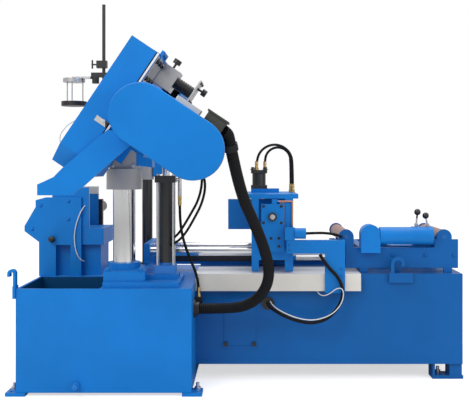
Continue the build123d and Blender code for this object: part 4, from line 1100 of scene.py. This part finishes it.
@dataclass
class FeedSide:
    """The feed base, carriage and roller table. Places are in machine millimetres, sizes in metres."""

    strip_middle: Point = (-36, 678.5, 546)
    strip_size: Point = (0.920, 0.003, 0.034)
    strip_screws: tuple[Vector, ...] = tuple(place(x, 677, 546) for x in (-440, -280, -120, 40, 200, 360))
    strip_screw_size: tuple[float, float] = (0.009, 0.003)
    pipe_route: Route = (
        (132, 285, 866), (180, 285, 866), (198, 285, 866), (205, 285, 866), (205, 285, 858),
        (205, 285, 840), (205, 285, 765), (205, 285, 752), (205, 285, 746), (205, 291, 746))
    pipe_radius: float = 0.004
    pipe_block_middle: Point = (118, 290, 864.5)
    pipe_block_size: Point = (0.024, 0.024, 0.023)
    pipe_block_bevel: float = 0.0015
    pipe_nut_place: Point = (130, 285, 866)
    pipe_nut_size: tuple[float, float] = (0.014, 0.007)
    bolt_sets: tuple[BoltSet, ...] = (
        BoltSet("plate_bolts",
                tuple(place(x, 276, z) for x, z in ((66, 842), (152, 842), (66, 762), (152, 762), (102, 687),
                                                    (140, 687), (140, 648))),
                Side.FRONT.axis, BLACK_PAINT, Body.CARRIAGE, across=0.010, height=0.0045),
        BoltSet("bearing_screw", (place(109, 264, 791),),
                Side.FRONT.axis, FASTENER_FINISH, Body.CARRIAGE, across=0.018, height=0.006),
        BoltSet("clamp_top_bolts", (place(14, 547, 1018), place(80, 547, 1018)),
                Side.TOP.axis, BLACK_PAINT, Body.CARRIAGE, across=0.020, height=0.012),
        BoltSet("stop_beam_bolts",
                tuple(place(x, 228, z) for x, z in ((190, 660), (190, 636), (440, 546), (440, 513),
                                                    (440, 480))),
                Side.FRONT.axis, BLUE_PAINT, Body.BASE, across=0.010, height=0.005),
        BoltSet("roller_frame_bolts", tuple(place(x, 325, 600) for x in (700, 860, 1000)),
                Side.FRONT.axis, DEEP_BLUE, Body.BASE, across=0.014, height=0.006),
    )

    def build(self) -> None:
        """Dress the feed side's nodes and build its small pieces."""
        SHOP.dress(DEEP_BLUE, "feed_base", "roller_frame")
        SHOP.dress(ACCESS_FINISH, "access_panels")
        SHOP.dress(CREAM_PAINT, "drip_tray")
        SHOP.dress(BLUE_PAINT, "feed_brackets", "table_brackets", "side_cylinder")
        SHOP.dress(NEAR_JAW_FINISH, "carriage_plates")
        SHOP.dress(CARRIAGE_FINISH, "feed_carriage")
        SHOP.dress(BLACK_PAINT, "carriage_cylinders")
        SHOP.dress(BAR_CHROME, "guide_bars")
        SHOP.dress(STEEL, "feed_moving_jaw", "clamp_ram")
        SHOP.dress(ROLLER_FINISH, "table_roller_1", "table_roller_2")
        SHOP.dress(LEVER_FINISH, "valve_lever_1", "valve_lever_2")
        for bolt_set in self.bolt_sets:
            bolt_set.build()
        self.add_rail_strip()
        self.add_pipe()

    def add_rail_strip(self) -> None:
        """Add the black strip along the top of the rear beam, with its screws."""
        shape = bmesh.new()
        add_slab(shape, Matrix.Translation(place(*self.strip_middle)), self.strip_size)
        for spot in self.strip_screws:
            add_bolt(shape, facing(Side.FRONT.axis, spot), *self.strip_screw_size)
        SHOP.piece("rail_strip", shape, BLACK_PAINT, Body.BASE)

    def add_pipe(self) -> None:
        """Add the copper pipe down the carriage's front leg, with the block that it starts from."""
        pipe = route_spline("copper_pipe", [place(*spot) for spot in self.pipe_route], self.pipe_radius)
        pipe.data.materials.append(SHOP.material(COPPER_FINISH))
        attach(pipe, Body.CARRIAGE.value)
        LOG.info("copper_pipe rides on %s", Body.CARRIAGE.value)
        shape = bmesh.new()
        add_slab(shape, Matrix.Translation(place(*self.pipe_block_middle)), self.pipe_block_size,
                 self.pipe_block_bevel)
        add_bolt(shape, facing(Side.RIGHT.axis, place(*self.pipe_nut_place)), *self.pipe_nut_size)
        SHOP.piece("pipe_block", shape, BLUE_PAINT, Body.CARRIAGE)


@dataclass(frozen=True)
class SoftLamp:
    """A soft square lamp. Places and its side are in metres, its power in watts."""

    name: str
    spot: Point
    target: Point
    size: float
    power: float

    def build(self) -> None:
        """Hang the lamp and point it at its target."""
        lamp = bpy.data.lights.new(self.name, "AREA")
        lamp.size = self.size
        lamp.energy = self.power
        item = bpy.data.objects.new(self.name, lamp)
        item.location = self.spot
        item.rotation_euler = (Vector(self.target) - Vector(self.spot)).to_track_quat("-Z", "Y").to_euler()
        bpy.context.scene.collection.objects.link(item)


@dataclass
class Studio:
    """Floor, lights, world and camera. The camera's shift is in shares of the photo's width."""

    lens: float = 61.54
    sensor: float = 36.0
    view_depth: float = 60.0
    eye: Point = (0.0, -3600.0, 1028.0)
    shift: tuple[float, float] = (-16 / 468, -32 / 468)
    floor_radius: float = 14.0
    floor_colour: Colour = (0.80, 0.80, 0.80)
    floor_roughness: float = 0.9
    floor_glow: float = 0.62
    white: Colour = (1.0, 1.0, 1.0)
    world_light: tuple[float, float] = (0.5, 1.0)
    world_mirror: tuple[float, float] = (0.0, 0.15)
    lamps: tuple[SoftLamp, ...] = (
        SoftLamp("key_light", (-2.6, -4.2, 4.2), (0.0, 0.0, 0.7), size=3.2, power=140.0),
        SoftLamp("fill_light", (3.8, -3.6, 2.6), (0.0, 0.0, 0.7), size=3.0, power=62.0),
        SoftLamp("top_light", (0.2, 0.6, 4.6), (0.0, 0.0, 0.5), size=3.6, power=95.0),
    )

    def build(self) -> None:
        """Build the studio."""
        scene = bpy.context.scene
        scene.view_settings.view_transform = "Standard"
        self.add_floor()
        self.add_world(scene)
        for lamp in self.lamps:
            lamp.build()
        camera = bpy.data.cameras.new("photo_camera")
        camera.lens = self.lens
        camera.sensor_width = self.sensor
        camera.shift_x, camera.shift_y = self.shift
        camera.clip_end = self.view_depth
        item = bpy.data.objects.new("photo_camera", camera)
        item.location = place(*self.eye)
        item.rotation_euler = (math.radians(90.0), 0.0, 0.0)
        scene.collection.objects.link(item)
        scene.camera = item

    def add_floor(self) -> None:
        """Add the pale floor."""
        shape = bmesh.new()
        bmesh.ops.create_circle(shape, cap_ends=True, segments=96, radius=self.floor_radius)
        material = bpy.data.materials.new("pale_floor")
        material.use_nodes = True
        nodes = Nodes(material.node_tree)
        shader = material.node_tree.nodes["Principled BSDF"]
        path = nodes.add("ShaderNodeLightPath")
        glow = nodes.math("MULTIPLY", path.outputs["Is Camera Ray"], self.floor_glow)
        values = {"Base Color": self.floor_colour, "Roughness": self.floor_roughness,
                  "Emission Color": self.white, "Emission Strength": glow}
        for title, value in values.items():
            nodes.feed(shader.inputs[title], value)
        make_object("studio_floor", shape, material)

    def add_world(self, scene: Scene) -> None:
        """Add a world that is white to the camera and soft grey as light.

        Args:
            scene: The scene that gets the world.
        """
        world = bpy.data.worlds.new("studio_world")
        world.use_nodes = True
        nodes = Nodes(world.node_tree)
        background = world.node_tree.nodes["Background"]
        nodes.feed(background.inputs["Color"], self.white)
        path = nodes.add("ShaderNodeLightPath")
        seen = nodes.spread(path.outputs["Is Camera Ray"], 0.0, 1.0, self.world_light)
        mirrored = nodes.spread(path.outputs["Is Glossy Ray"], 0.0, 1.0, self.world_mirror)
        nodes.join(nodes.math("ADD", seen, mirrored), background.inputs["Strength"])
        scene.world = world


def main() -> None:
    """Build the studio and every part of the machine."""
    logging.basicConfig(level=logging.INFO, format="%(name)s %(message)s")
    for part in (Studio(), SawHead(), MainBase(), FeedSide(), *HEAD_HOSES, *CORDS):
        part.build()


if __name__ == "__main__":
    main()
